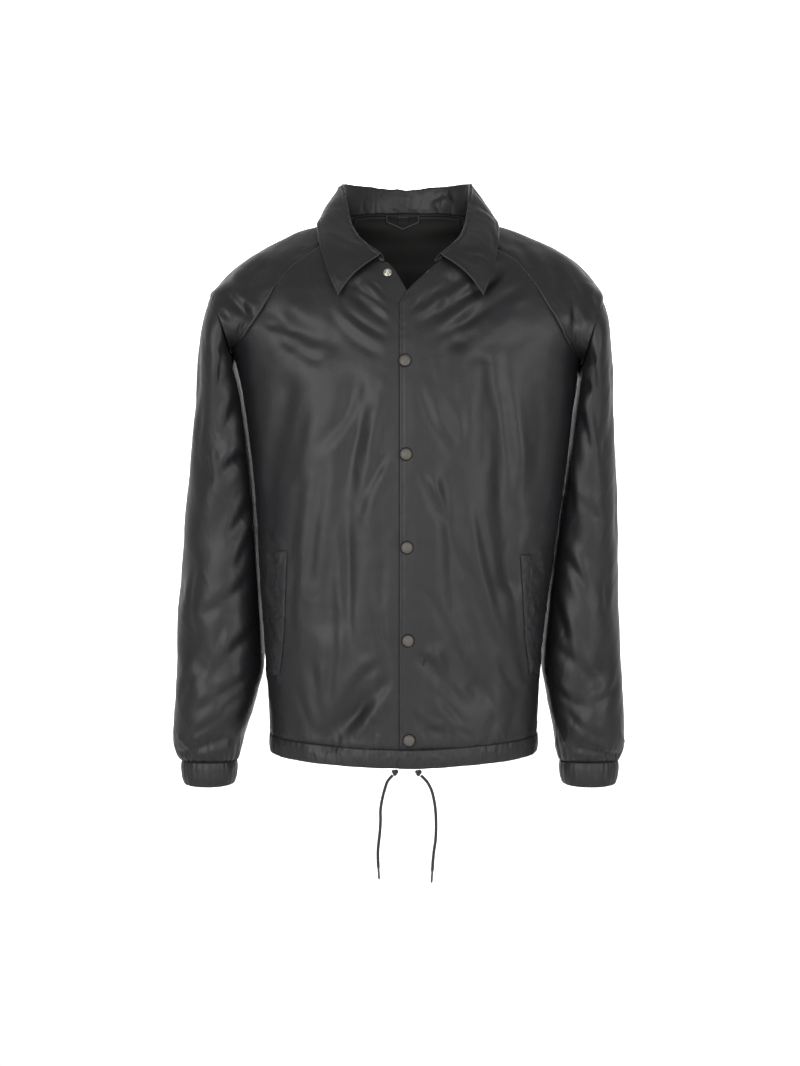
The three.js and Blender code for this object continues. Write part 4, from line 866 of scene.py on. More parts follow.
backCreases = [
    (-150, -170, -110, -210, -60, -265, 10, 3.0, 0.7), (150, -180, 112, -226, 70, -290, 10, 3.0, 0.7),
    (-120, -120, -70, -150, -20, -160, 9, 1.8, 0.6), (124, -124, 80, -150, 30, -166, 9, 1.8, 0.6),
    (-90, -320, -112, -470, -120, -640, 9, 3.2, 0.8), (30, -300, 34, -420, 20, -560, 10, 2.8, 0.8),
    (112, -380, 110, -500, 96, -655, 9, 3.2, 0.8), (-40, -420, -46, -540, -30, -650, 8, 2.2, 0.7),
    (-160, -300, -172, -420, -170, -560, 9, 2.4, 0.7), (160, -320, 174, -430, 168, -560, 9, 2.4, 0.7),
    (-140, -600, -120, -640, -112, -672, 6, 2.4, 0.7), (64, -600, 74, -640, 70, -672, 6, 2.2, 0.7),
    (-10, -600, -4, -640, -12, -674, 6, 2.2, -0.7), (140, -580, 130, -640, 134, -670, 6, 2.0, 0.6),
    (-70, -240, -84, -300, -78, -370, 8, 1.8, 0.6), (80, -300, 70, -350, 74, -420, 8, 1.8, 0.6),
]


def makeBack():
    u, v = np.linspace(0, 1, 132), np.linspace(0, 1, 216)
    topTurn = mix(body["neckBack"], 360.0 - body["neckBack"], u)
    top = np.stack([topTurn, neckHeight(topTurn)], -1)
    lowTurn = mix(90.0, 270.0, u)
    low = np.stack([lowTurn, hemLine(lowTurn) + body["casing"] - body["tuck"]], -1)
    right = panelSide(-1, -1, v)
    right[:, 0] += 360
    place = patchBetween(top, low, panelSide(1, -1, v), right, u, v)
    turn, z = place[..., 0], place[..., 1]
    base, out = bodyPoint(turn, z), bodyNormal(turn, z)
    x = base[..., 0]
    fromLeft, fromRight = fromEdges(base, 0)
    fromNeck, fromHem = fromEdges(base, 1)
    calm = ease(fromNeck / 70) * ease(fromLeft / 9) * ease(fromRight / 9)
    leftRow, rightRow = np.broadcast_to(fromNeck[:1], x.shape), np.broadcast_to(fromNeck[-1:], x.shape)
    topRow, hemRow = np.broadcast_to(fromLeft[:, :1], x.shape), np.broadcast_to(fromLeft[:, -1:], x.shape)
    lift = -mainFold(turn, z) + calm * (creases(x, z, backCreases) + slack(x, z, 140))
    lift = lift + seamPull(fromLeft, leftRow, 61, depth=1.0) + seamPull(fromRight, rightRow, 59, depth=1.0)
    lift = lift + seamPull(fromNeck, topRow, 172, depth=0.8, pucker=0.3)
    aboveHem = fromHem - body["tuck"]
    lift = lift + seamPull(np.maximum(aboveHem, 0), hemRow, 181, pucker=1.3, reach=12)
    lift = lift + 1.2 * ease(aboveHem / 3) * np.exp(-((aboveHem / 26) ** 2)) * (crumple(x, z * 0.5, 15, 195) - 0.3)
    points = base + out * lift[..., None]
    normals = gridNormals(points)
    normals = normals * np.sign(np.sum(normals * out))
    piece = clothSheet("back_panel", points, out, body["wall"], "nylon", nylonCloth, finish["lining"])
    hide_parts("back")
    stitchFrom("hem_back", *lineAt(points, normals, aboveHem, 1.8, 1))
    pieces["back"] = (points, normals, x, z)
    # Lining: the upper rows of the back, moved inside it
    rows = slice(1, 66)
    inside = points[2:-2, rows] - normals[2:-2, rows] * 2.1
    lining = clothSheet("back_lining", inside, out[2:-2, rows], 0.5, "lining", finish["lining"], finish["lining"])
    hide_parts("lining_back")
    declareCut(points)
    declareCut(inside)


# Sleeve rings from armhole to cuff: outer x and z, inner x and z, middle y, half depth
sleeves = {
    "rings": {
        -1: [
            (-257, -100, -228, -178, -12, 88), (-264.5, -128, -224, -203, -10, 91), (-272, -172, -214, -236, -5, 92),
            (-276, -228, -206, -276, 2, 91), (-283, -290, -200, -320, 8, 89), (-289, -350, -194, -366, 12, 86),
            (-294.5, -412, -190, -420, 14, 82), (-300, -470, -188, -474, 14, 78), (-303, -526, -187, -528, 11, 73),
            (-303.5, -580, -187.5, -580, 7, 67), (-305, -622, -196, -620, 3, 62), (-307, -654, -205, -652, 1, 57),
            (-307.5, -680, -213.5, -678, -1, 51), (-304.5, -697, -218, -696, -3, 44), (-300, -705, -220.5, -705, -4, 38),
            (-296.5, -710, -222.5, -710, -4, 34),
        ],
        1: [
            (261, -104, 232, -193, -12, 88), (267, -130, 229, -216, -10, 91), (271.5, -174, 222, -246, -5, 92),
            (274.5, -230, 216, -282, 2, 91), (278.5, -290, 210, -322, 8, 89), (281, -350, 203, -366, 12, 86),
            (283, -412, 196, -420, 14, 82), (284.5, -470, 190, -474, 14, 78), (286, -526, 184, -528, 11, 73),
            (287, -580, 181, -580, 7, 67), (289, -622, 187, -620, 3, 62), (290.5, -654, 193, -652, 1, 57),
            (291, -680, 198, -678, -1, 51), (288.5, -697, 201, -696, -3, 44), (285.5, -705, 203, -705, -4, 38),
            (283, -710, 205, -710, -4, 34),
        ],
    },
    "hollow": 6, "power": 2.2, "clear": 3.4, "gathers": 26, "wall": 0.7,
    "mainFolds": {  # turn, place down the sleeve, to turn, to place; width, depth
        -1: [
            (60, 0.14, 120, 0.3, 0.035, 6), (70, 0.36, 150, 0.47, 0.035, 5), (130, 0.56, 60, 0.68, 0.03, 5),
            (60, 0.8, 140, 0.88, 0.025, 5), (300, 0.3, 220, 0.42, 0.035, 6), (230, 0.62, 300, 0.72, 0.03, 5),
        ],
        1: [
            (55, 0.12, 120, 0.26, 0.035, 6), (60, 0.4, 140, 0.5, 0.035, 5), (120, 0.6, 60, 0.72, 0.03, 5),
            (70, 0.84, 140, 0.9, 0.025, 4), (310, 0.26, 230, 0.4, 0.035, 6), (230, 0.6, 300, 0.7, 0.03, 5),
        ],
    },
}
# Creases by turn round the sleeve (0 inside, 90 front, 180 outside, 270 back) and height; then width, depth, ridge
sleeveCreases = {
    -1: [
        (30, -236, 60, -260, 84, -300, 11, 5, 0.8), (20, -310, 60, -318, 96, -346, 9, 5, 0.9),
        (96, -346, 110, -330, 118, -296, 7, 2.6, 0.7), (24, -350, 50, -384, 84, -430, 9, 3.4, 0.8),
        (18, -400, 46, -420, 70, -470, 8, 3, 0.8), (120, -230, 132, -280, 130, -330, 10, 2, 0.6),
        (40, -460, 80, -500, 124, -520, 9, 3, 0.8), (124, -440, 130, -500, 120, -560, 9, 2, 0.6),
        (30, -540, 64, -560, 104, -610, 9, 3.2, 0.8), (60, -500, 84, -540, 92, -590, 8, 2, -0.6),
        (40, -600, 80, -622, 120, -650, 8, 3, 0.8), (100, -580, 126, -600, 150, -640, 9, 2.2, 0.6),
        (60, -640, 96, -664, 128, -676, 6, 2, 0.6), (20, -190, 40, -204, 70, -210, 7, 2.4, 0.6),
        (150, -150, 140, -200, 146, -260, 10, 2, 0.6), (60, -160, 74, -200, 100, -236, 9, 2, 0.6),
        (300, -240, 280, -280, 240, -310, 10, 4, 0.8), (330, -330, 290, -360, 250, -370, 9, 4, 0.8),
        (320, -430, 280, -460, 230, -500, 9, 3, 0.8), (330, -540, 290, -560, 240, -600, 9, 3, 0.8),
        (300, -620, 260, -640, 220, -660, 8, 2.4, 0.7), (210, -240, 200, -320, 212, -400, 10, 2, 0.6),
        (190, -420, 200, -500, 190, -580, 10, 2, 0.6),
    ],
    1: [
        (30, -250, 60, -272, 90, -330, 11, 5, 0.8), (20, -300, 44, -340, 60, -400, 10, 4.4, 0.8),
        (60, -360, 92, -384, 126, -400, 8, 2.4, 0.7), (24, -430, 60, -452, 96, -500, 9, 3.4, 0.8),
        (20, -470, 50, -520, 74, -580, 9, 3.6, 0.8), (110, -430, 126, -480, 120, -540, 9, 2, 0.6),
        (40, -560, 76, -580, 116, -620, 9, 3.2, 0.8), (30, -610, 64, -630, 100, -640, 7, 2.6, 0.7),
        (84, -640, 120, -622, 150, -600, 7, 3, 0.8), (50, -650, 84, -668, 118, -680, 6, 2, 0.6),
        (130, -180, 140, -230, 132, -290, 10, 2, 0.6), (60, -170, 80, -210, 104, -250, 9, 2.2, 0.6),
        (150, -320, 146, -380, 152, -440, 10, 2, 0.6), (24, -206, 48, -220, 74, -226, 7, 2.4, 0.6),
        (310, -230, 280, -270, 240, -310, 10, 4, 0.8), (330, -340, 290, -372, 250, -380, 9, 4, 0.8),
        (320, -440, 280, -470, 230, -510, 9, 3, 0.8), (330, -540, 290, -566, 240, -600, 9, 3, 0.8),
        (300, -620, 260, -640, 220, -664, 8, 2.4, 0.7), (212, -240, 202, -320, 210, -400, 10, 2, 0.6),
        (194, -420, 204, -500, 196, -580, 10, 2, 0.6),
    ],
}
yokeCreases = {
    -1: [
        (-236, -98, -214, -120, -186, -146, 7, 3.4, 0.8), (-240, -120, -224, -136, -206, -146, 5, 1.8, -0.6),
        (-150, -40, -128, -52, -112, -60, 6, 1.6, 0.6), (-196, -60, -176, -70, -160, -88, 7, 1.8, 0.6),
        (-232, -60, -228, -90, -220, -126, 7, 1.6, 0.5), (-120, -14, -104, -26, -92, -36, 5, 1.2, 0.5),
    ],
    1: [
        (228, -84, 232, -110, 234, -142, 6, 2.8, 0.8), (216, -92, 218, -124, 222, -150, 5, 2.2, -0.7),
        (244, -92, 246, -120, 244, -150, 5, 1.8, 0.6), (140, -28, 156, -50, 164, -74, 7, 1.8, 0.6),
        (190, -60, 196, -84, 198, -112, 7, 1.6, 0.6), (106, -16, 122, -26, 138, -40, 6, 1.4, 0.6),
    ],
}


# A ring of the sleeve between two of its rows, rounded through its four sides
def ringPoint(ring, turn):
    outX, outZ, inX, inZ, midY, halfDepth = ring
    across, forward = np.cos(np.radians(turn)), np.sin(np.radians(turn))
    power = sleeves["power"]
    reach = (np.abs(across) ** power + np.abs(forward) ** power) ** (-1 / power)
    share = (1 - reach * across) / 2
    return np.stack([mix(inX, outX, share), midY - reach * forward * halfDepth, mix(inZ, outZ, share)], -1)


def sleeveRing(side, at):
    table = np.array(sleeves["rings"][side], float)
    steps = np.arange(len(table))
    return [smoothRead(steps, table[:, k], at) for k in range(6)]


def armholePoint(side, turn):
    ring = sleeves["rings"][side][0]
    point = ringPoint(ring, turn)
    point[..., 0] -= side * sleeves["hollow"] * np.sin(np.radians(turn)) ** 2
    armpit = bodyPoint(np.array(side * 90.0), np.array(float(body["armpit"][side])))
    near = np.exp(-((np.minimum(turn, 360 - turn) / 16) ** 2))[..., None]
    return point + (armpit - ringPoint(ring, np.array(0.0))) * near


def armholeOut(side, turn):
    middle = (armholePoint(side, np.array(0.0)) + armholePoint(side, np.array(180.0))) / 2
    middle[1] = sleeves["rings"][side][0][4]
    return unit(armholePoint(side, turn) - middle)


def makeShoulder(side):
    name = "right" if side < 0 else "left"
    v, u = np.linspace(0, 1, 150), np.linspace(0, 1, 76)
    ringTurn = 360 * v
    ring = armholePoint(side, ringTurn)
    size = bodySize(ring[:, 2])
    ringPlace = np.stack([np.degrees(np.arctan2(ring[:, 0] - size[0], size[2] - ring[:, 1])), ring[:, 2]], -1)
    ringPlace[0] = ringPlace[-1] = (side * 90, body["armpit"][side])
    neckTurn = side * mix(body["neckFront"], body["neckBack"] * 1.0, v)
    neck = np.stack([neckTurn, neckHeight(neckTurn)], -1)
    place = patchBetween(neck, ringPlace, raglan(side, 1, u), raglan(side, -1, u), v, u, body["yokeHold"])
    turn, z = place[..., 0], place[..., 1]
    reachOut = ring - bodyPoint(ringPlace[:, 0], ringPlace[:, 1])
    far = np.broadcast_to(u[None], z.shape)[..., None]
    out = unit(mix(bodyNormal(turn, z), armholeOut(side, ringTurn)[:, None], far**8 * ease(np.minimum(v, 1 - v) / 0.06)[:, None, None]))
    late = mix(12, 3, ease(np.minimum(v, 1 - v) / 0.25))[:, None, None]
    base = bodyPoint(turn, z) + reachOut[:, None] * far**late
    x, y = base[..., 0], base[..., 1]
    fromFront, fromBack = fromEdges(base, 0)
    fromNeck, fromArm = fromEdges(base, 1)
    frontRow, backRow = np.broadcast_to(fromNeck[:1], x.shape), np.broadcast_to(fromNeck[-1:], x.shape)
    neckRow, armRow = np.broadcast_to(fromFront[:, :1], x.shape), np.broadcast_to(fromFront[:, -1:], x.shape)
    lift = -mainFold(turn, z) * (1 - far[..., 0] ** 8)
    inFront = ease((-y - 10) / 40) + 0.7 * ease((y - 20) / 30)
    calm = ease(fromFront / 9) * ease(fromBack / 9) * ease(fromArm / 9) * ease(fromNeck / 12)
    lift = lift + calm * inFront * creases(x, z, yokeCreases[side])
    lift = lift + calm * slack(fromFront, fromNeck, 240 + side, swell=0.9, small=0.5)
    lift = lift + seamPull(fromFront, frontRow, 260 + side, depth=1.0) + seamPull(fromBack, backRow, 265 + side, depth=1.0)
    lift = lift + seamPull(np.abs(fromFront - 5), frontRow, 267 + side, depth=0.7, width=1.1, pucker=0.5, reach=4)
    lift = lift + seamPull(fromNeck, neckRow, 270 + side, pucker=0.3)
    lift = lift + seamPull(fromArm, armRow, 280 + side, depth=1.2, pucker=0.7)
    points = base + out * lift[..., None]
    normals = gridNormals(points)
    normals = normals * np.sign(np.sum(normals * out))
    piece = clothSheet(f"shoulder_panel_{name}", points, out, body["wall"], "nylon", nylonCloth, finish["lining"])
    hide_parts(f"shoulder_{name}")
    stitchFrom(f"raglan_front_{name}", *lineAt(points, normals, fromFront, 5, 0))
    stitchFrom(f"raglan_back_{name}", *lineAt(points, normals, fromBack, 5, 0))
    declareCut(points)


# Gathers round a cuff: sharp uneven pleats that repeat the same way on sleeve and cuff
def gathers(side, turn, seed=0):
    count = sleeves["gathers"]
    drift = 0.9 * np.sin(np.radians(2 * turn + 40 * side)) + 0.6 * np.sin(np.radians(5 * turn + 80 + seed))
    wave = np.abs(np.sin(np.radians(turn * count / 2) + drift))
    uneven = 0.7 + 0.3 * np.sin(np.radians(3 * turn + 57 + 30 * side)) * np.sin(np.radians(7 * turn + 12))
    return (wave**0.7 - 0.6) * uneven


def makeSleeve(side):
    name = "right" if side < 0 else "left"
    turn = np.linspace(0, 360, 176, endpoint=False)[:, None]
    rows = 206
    at = np.linspace(0, 15, rows)
    table = np.array(sleeves["rings"][side], float)
    middles = np.stack([(table[:, 0] + table[:, 2]) / 2, (table[:, 1] + table[:, 3]) / 2], -1)
    length = np.concatenate([[0], np.cumsum(np.linalg.norm(np.diff(middles, axis=0), axis=1))])
    at = smoothRead(length, np.arange(16), np.linspace(0, length[-1], rows))[None]
    ring = sleeveRing(side, at)
    base = ringPoint(ring, turn)
    start = ease(1 - at / 1.2)
    base[..., 0] -= side * sleeves["hollow"] * np.sin(np.radians(turn)) ** 2 * start
    shift = armholePoint(side, turn[:, 0]) - base[:, 0]
    base = base + shift[:, None] * ease(1 - at / 0.8)[..., None]
    out = gridNormals(base, True)
    middle = np.stack([(ring[0] + ring[2]) / 2, ring[4], (ring[1] + ring[3]) / 2], -1)
    out = out * np.sign(np.sum(out * (base - middle)))
    z = base[..., 2]
    down = at / 15
    depth = 0
    for turn1, down1, turn2, down2, width, deep in sleeves["mainFolds"][side]:
        du, dv = (turn2 - turn1) / 600, down2 - down1
        along = np.clip(((turn / 600 - turn1 / 600) * du + (down - down1) * dv) / (du * du + dv * dv), 0, 1)
        away = np.hypot(turn / 600 - turn1 / 600 - du * along, down - down1 - dv * along)
        depth = depth + deep * np.exp(-((away / width) ** 2))
    lift = -depth * ease(down / 0.12) * ease((1 - down) / 0.06)
    girth = 1.4
    rows9 = [(a * girth, b, c * girth, d, e * girth, f, w, h, r) for a, b, c, d, e, f, w, h, r in sleeveCreases[side]]
    wide = np.broadcast_to(turn * girth, z.shape)
    fade = ease(down / 0.05) * ease((1 - down) / 0.05)
    lift = lift + 0.6 * creases(wide, z, rows9) * fade
    # The noise is read on a circle, so that it meets itself inside the arm
    ringA = 70 * np.cos(np.radians(turn)) + 0 * z
    ringB = 70 * np.sin(np.radians(turn)) + z
    lift = lift + (slack(ringA + 0.5 * z, ringB, 340 + side, swell=0.8, small=0.6)) * fade
    fromTop, fromCuff = fromEdges(base, 1)
    armRow = np.broadcast_to(np.radians(turn) * 88, z.shape)
    wrapped = 40 * np.sin(np.radians(turn)) + 25 * np.cos(np.radians(3 * turn)) + 0 * z
    lift = lift + seamPull(fromTop, wrapped, 360 + side, depth=1.2, pucker=0.7)
    pleat = gathers(side, turn)
    blouse = np.exp(-((fromCuff / 17) ** 2))
    lift = lift + 2.6 * pleat * blouse * ease(fromCuff / 3 + 0.35)
    lift = lift + 2.0 * np.exp(-(((fromCuff - 26) / 22) ** 2)) * (crumple(wide, z * 0.6, 19, 380 + side) - 0.35)
    points = base + out * lift[..., None]
    # Just clear of the body beside it
    size = bodySize(points[..., 2])
    forwards = np.where(points[..., 1] < size[2], size[3], size[4])
    share = np.minimum(np.abs(points[..., 1] - size[2]) / forwards, 1)
    limit = size[1] * (1 - share ** size[5]) ** (1 / size[5]) + sleeves["clear"]
    across = np.abs(points[..., 0] - size[0])
    inside = np.exp(-((np.minimum(turn, 360 - turn) / 42) ** 2))
    under = ease((body["armpit"][side] + 4 - points[..., 2]) / 10) * ease((points[..., 2] + 500) / 120)
    across = mix(across, np.minimum(across, limit), inside * under)
    soft = 0.5 * (across + limit + np.sqrt((across - limit) ** 2 + 9))
    below = ease((body["armpit"][side] - points[..., 2]) / 12)
    points[..., 0] = size[0] + side * mix(across, soft, below)
    flat = flatPlaces(points)
    piece = clothSheet(f"sleeve_tube_{name}", points, out, sleeves["wall"], "nylon", nylonCloth, finish["lining"], True, flat)
    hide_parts(f"sleeve_{name}")
    declareCut(points, True)


# Joins the profile's last row to its first, and closes open ends with one face each
def profileSolid(name, points, round, uv=None):
    columns, rows = points.shape[:2]
    i, j = np.meshgrid(np.arange(columns if round else columns - 1), np.arange(rows), indexing="ij")
    k, l = (i + 1) % columns, (j + 1) % rows
    quads = np.stack([i * rows + j, i * rows + l, k * rows + l, k * rows + j], -1).reshape(-1, 4)
    faces = quads.tolist()
    if not round:
        faces += [list(range(rows))[::-1], [(columns - 1) * rows + n for n in range(rows)]]
    mesh = bpy.data.meshes.new(name)
    mesh.from_pydata((points.reshape(-1, 3) * mm).tolist(), [], faces)
    mesh.update()
    layer = mesh.uv_layers.new(name="cloth")
    index = np.zeros(len(mesh.loops), int)
    mesh.loops.foreach_get("vertex_index", index)
    flat = flatPlaces(points) if uv is None else uv
    layer.data.foreach_set("uv", (flat.reshape(-1, 2)[index] * mm).ravel())
    mesh.polygons.foreach_set("use_smooth", np.ones(len(mesh.polygons), bool))
    mergeDoubles(mesh)
    return mesh


cuffs = {"drops": (0.9, 9, 19, 28), "grows": (0, 1.2, 0.8, -1.5), "lean": (0, 0.3, 0.8, 1), "frontDip": 4, "wall": 2.2}


def makeCuff(side):
    name = "right" if side < 0 else "left"
    turn = np.linspace(0, 360, 312, endpoint=False)[:, None]
    end = sleeves["rings"][side][-1]
    outer = np.linspace(0.3, 28, 16)
    bottom = np.radians(np.linspace(20, 160, 6))
    inner = np.linspace(27, 0.6, 8)
    drop = np.concatenate([outer, 28.4 + 0.9 * np.sin(bottom), inner])[None]
    inwards = np.concatenate([np.zeros(16), 1.1 * (1 - np.cos(bottom)), np.full(8, cuffs["wall"])])[None]
    grow = smoothRead(cuffs["drops"], cuffs["grows"], drop)
    lean = smoothRead(cuffs["drops"], cuffs["lean"], drop)
    band = np.sin(np.pi * np.clip(drop / 28, 0, 1)) ** 0.5
    pleat = gathers(side, turn)
    slip = gathers(side, turn + 3, 25)
    wave = 1.35 * mix(pleat, slip, drop / 40) * (0.55 + 0.45 * band) + 0.25 * softNoise(turn * 0.9, drop, 6, 400 + side)
    grow = grow - inwards + wave * np.where(inwards > 1.2, 0.5, 1) - 0.4
    zIn, zOut = end[3] - drop, end[1] - drop
    ring = (end[0] + side * (grow - lean), zOut, end[2] - side * (grow - lean), zIn, end[4], end[5] + grow)
    points = ringPoint(ring, turn)
    points[..., 2] -= cuffs["frontDip"] * np.clip(np.sin(np.radians(turn)), 0, 1) * drop / 28
    piece = newObject(f"cuff_band_{name}", profileSolid(f"cuff_band_{name}", points, True), "nylon", nylonCloth)
    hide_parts(f"cuff_{name}")
    normals = unit(points[:, :16] - points[:, :16].mean(axis=0, keepdims=True))
    stitchFrom(f"cuff_{name}", points[:, 2], normals[:, 2])
    declareCut(points[:, :18], True)


# Drawcord casing: a flat tube of cloth round the hem, puckered where it is sewn
casing = {"wall": 2.2, "proud": 0.4, "lap": 3.7, "pucker": 0.75}


def makeCasing(name, node, start, finishTurn, side):
    count = int(abs(finishTurn - start) / 180 * 470) + 40
    turn = np.linspace(start, finishTurn, count)[:, None]
    high = body["casing"] - 0.5
    down = np.linspace(0, high - 1.2, 12)
    bend = np.radians(np.linspace(0, 180, 7))
    up = np.linspace(high - 1.2, 0.4, 7)
    drop = np.concatenate([down, high - 1.1 + 1.1 * np.sin(bend)[1:-1], up])[None]
    inwards = np.concatenate([np.zeros(12), 0.5 * (1 - np.cos(bend))[1:-1], np.ones(7)])[None] * casing["wall"]
    z = hemLine(turn) + high - drop
    base, out = bodyPoint(turn, z), bodyNormal(turn, z)
    along = np.concatenate([[0], np.cumsum(np.linalg.norm(np.diff(base[:, 0], axis=0), axis=1))])[:, None]
    full = 1.0 * np.sin(np.pi * np.clip(drop / high, 0, 1)) ** 0.8
    top = np.exp(-((drop / 7) ** 2))
    wave = softNoise(along, drop * 0.35, 5.2, 440) + 0.6 * softNoise(along, drop * 0.3, 2.7, 450)
    ruck = 0.9 * (crumple(along, drop * 0.6, 11, 455) - 0.3)
    over = casing["lap"] * lapLift(side, base[..., 0]) / body["overlapLift"]
    lift = casing["proud"] + over + full - 0.5 * np.exp(-((drop / 1.5) ** 2))
    lift = lift + np.where(inwards > 1.2, 0.3, 1) * (casing["pucker"] * wave * (0.35 + 0.65 * top) + ruck) - mainFold(turn, z)
    points = base + out * (lift - inwards)[..., None]
    points[..., 2] += 0.35 * softNoise(along, 0 * drop, 14, 460) * drop / high
    piece = newObject(name, profileSolid(name, points, False), "nylon", nylonCloth)
    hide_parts(node)
    declareCut(points[:, :14])


collarShape = {
    "rows": [  # turn, middle x, crest out, crest y, crest z, edge out, edge y, edge z
        (18, 6.9, 38, -102, -56, 92, -122, -110), (30, 6.2, 53, -93, -44, 103, -112, -84),
        (45, 5.3, 67, -73, -28, 112, -88, -52), (60, 4.4, 76, -47, -6, 118, -56, -24),
        (75, 3.4, 81, -21, 19, 120, -20, -1), (90, 2.8, 84.5, 5, 42, 118, 12, 5), (110, 2, 87, 36, 60, 110, 50, 7),
        (135, 1.6, 63, 67, 63, 83, 90, 3), (160, 1.5, 30, 82, 61.5, 39, 107, -3), (180, 1.5, 0, 86, 59.5, 0, 112, -5),
    ],
    "foldRadius": 2.2, "roll": 6, "wall": 1.2,
}


# Folded collar: its section goes up the stand, over a small arc and down the fall, which rolls outwards
def makeCollar():
    turn = np.linspace(18, 342, 330)[:, None]
    round = np.where(turn > 180, 360 - turn, turn)
    hand = np.where(turn > 180, -1, 1)
    table = np.array(collarShape["rows"], float)
    midX, crest, crestY, crestZ, edge, edgeY, edgeZ = [smoothRead(table[:, 0], table[:, k], round) for k in range(1, 8)]
    top = np.stack([midX + hand * crest, crestY, crestZ], -1)
    end = np.stack([midX + hand * edge, edgeY, edgeZ], -1)
    neckZ = neckHeight(turn)
    base = bodyPoint(turn, neckZ) + bodyNormal(turn, neckZ) * -0.9
    out = (end - top) * [1, 1, 0]
    out = unit(out)
    radius = collarShape["foldRadius"]
    standShare = np.linspace(0, 1, 16)[None, :, None]
    stand = mix(base, top - out * radius, standShare)
    stand = stand - out * 1.6 * np.sin(np.pi * standShare)
    arc = np.radians(np.linspace(180, 0, 10))[None, 1:-1, None]
    fold = top + out * radius * np.cos(arc) + np.array([0, 0, 1]) * radius * np.sin(arc)
    t = np.linspace(0, 1, 34)[None, :, None]
    roll = collarShape["roll"] * np.sin(np.pi * t)
    fall = mix(top + out * radius, end, t) + out * roll * 0.8 + np.array([0, 0, 1]) * roll * 0.5
    middle = np.concatenate([stand, fold, fall], 1)
    away = gridNormals(middle)
    sign = np.sign(np.sum(away[:, -20:] * out))
    away = away * sign
    fromRight, fromLeft = fromEdges(middle, 0)
    fromNeck, fromEdge = fromEdges(middle, 1)
    ends = np.minimum(fromRight, fromLeft)
    isFall = ease((fromNeck - fromNeck[:, 15:16]) / 14)
    along = fromRight
    lift = 0.7 * slack(along, fromNeck, 500, swell=1.0, small=1.1)
    lift = lift * ease(fromEdge / 10) * ease(ends / 10)
    lift = lift + (1 - isFall) * 0.9 * (crumple(along, fromNeck, 16, 520) - 0.3) * ease(ends / 16)
    lift = lift + creases(along + 0 * fromNeck, fromNeck, [
        (20, 30, 34, 46, 50, 60, 5, 1.6, 0.7), (60, 60, 84, 66, 100, 50, 6, 1.6, 0.7),
        (210, 14, 226, 24, 234, 34, 4, 1.8, 0.8), (222, 34, 236, 26, 256, 16, 4, 1.4, -0.7),
        (120, 30, 136, 44, 140, 70, 6, 1.2, 0.6), (330, 30, 318, 50, 322, 70, 6, 1.4, 0.6),
        (394, 60, 412, 52, 424, 34, 5, 1.6, 0.7), (360, 44, 374, 60, 380, 76, 6, 1.4, 0.6),
    ])
    stitchAway = np.minimum(np.where(isFall > 0.5, fromEdge, 99), np.where(isFall > 0.3, ends, 99))
    lift = lift + seamPull(np.abs(stitchAway - 5.5), along + fromNeck, 530, depth=0.4, width=0.9, pucker=0.45, reach=4)
    lift = lift - 0.5 * np.exp(-((stitchAway / 1.2) ** 2))
    points = middle + away * (lift + collarShape["wall"] / 2)[..., None]
    piece = clothSheet("collar_folded", points, away, collarShape["wall"], "nylon", nylonCloth, nylonCloth)
    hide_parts("collar")
    normals = away
    lower, lowerOut = lineAt(points, normals, fromEdge, 5.5, 1)
    insideEnds = (fromRight[:, -1] > 5.5) & (fromLeft[:, -1] > 5.5)
    stitchFrom("collar_edge", lower[insideEnds], lowerOut[insideEnds])
    for label, distance in (("right", fromRight), ("left", fromLeft)):
        edgeLine, edgeOut = lineAt(points, normals, distance, 5.5, 0)
        keep = (np.arange(len(edgeLine)) > 22) & (fromEdge[0] > 5.5)
        stitchFrom(f"collar_front_{label}", edgeLine[keep], edgeOut[keep])
    inner = points - normals * collarShape["wall"]
    stitchFrom("collar_stand_top", inner[6:-6, 13], -normals[6:-6, 13])
    declareCut(points)


patch = {"x": -3, "width": 46, "drop": 17, "point": 9, "fromTop": 1.5, "labelWidth": 14, "labelDrop": 10.6}


# A flat piece inside the back neck at a distance from the body's surface; its lower edge falls to a point
def neckPiece(name, node, width, drop, point, fromTop, inwards, slotName, material):
    middleZ = neckHeight(np.array(180.0))
    u, v = np.linspace(-1, 1, 41)[:, None], np.linspace(0, 1, 15)[None]
    x = patch["x"] + u * width / 2 + 0 * v
    z = middleZ - fromTop - (drop - point * np.abs(u)) * v
    turn = turnAt(x, z, -1)
    out = bodyNormal(turn, z)
    points = bodyPoint(turn, z) - out * inwards
    piece = clothSheet(name, points, -out, 0.5, slotName, material, material)
    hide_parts(node)
    return piece, points, -out


welts = {
    -1: ((-157, -432), (-169, -592)), 1: ((153, -437), (168, -592)),
    "width": 15, "low": 0.9, "high": 1.9, "wall": 0.6,
}


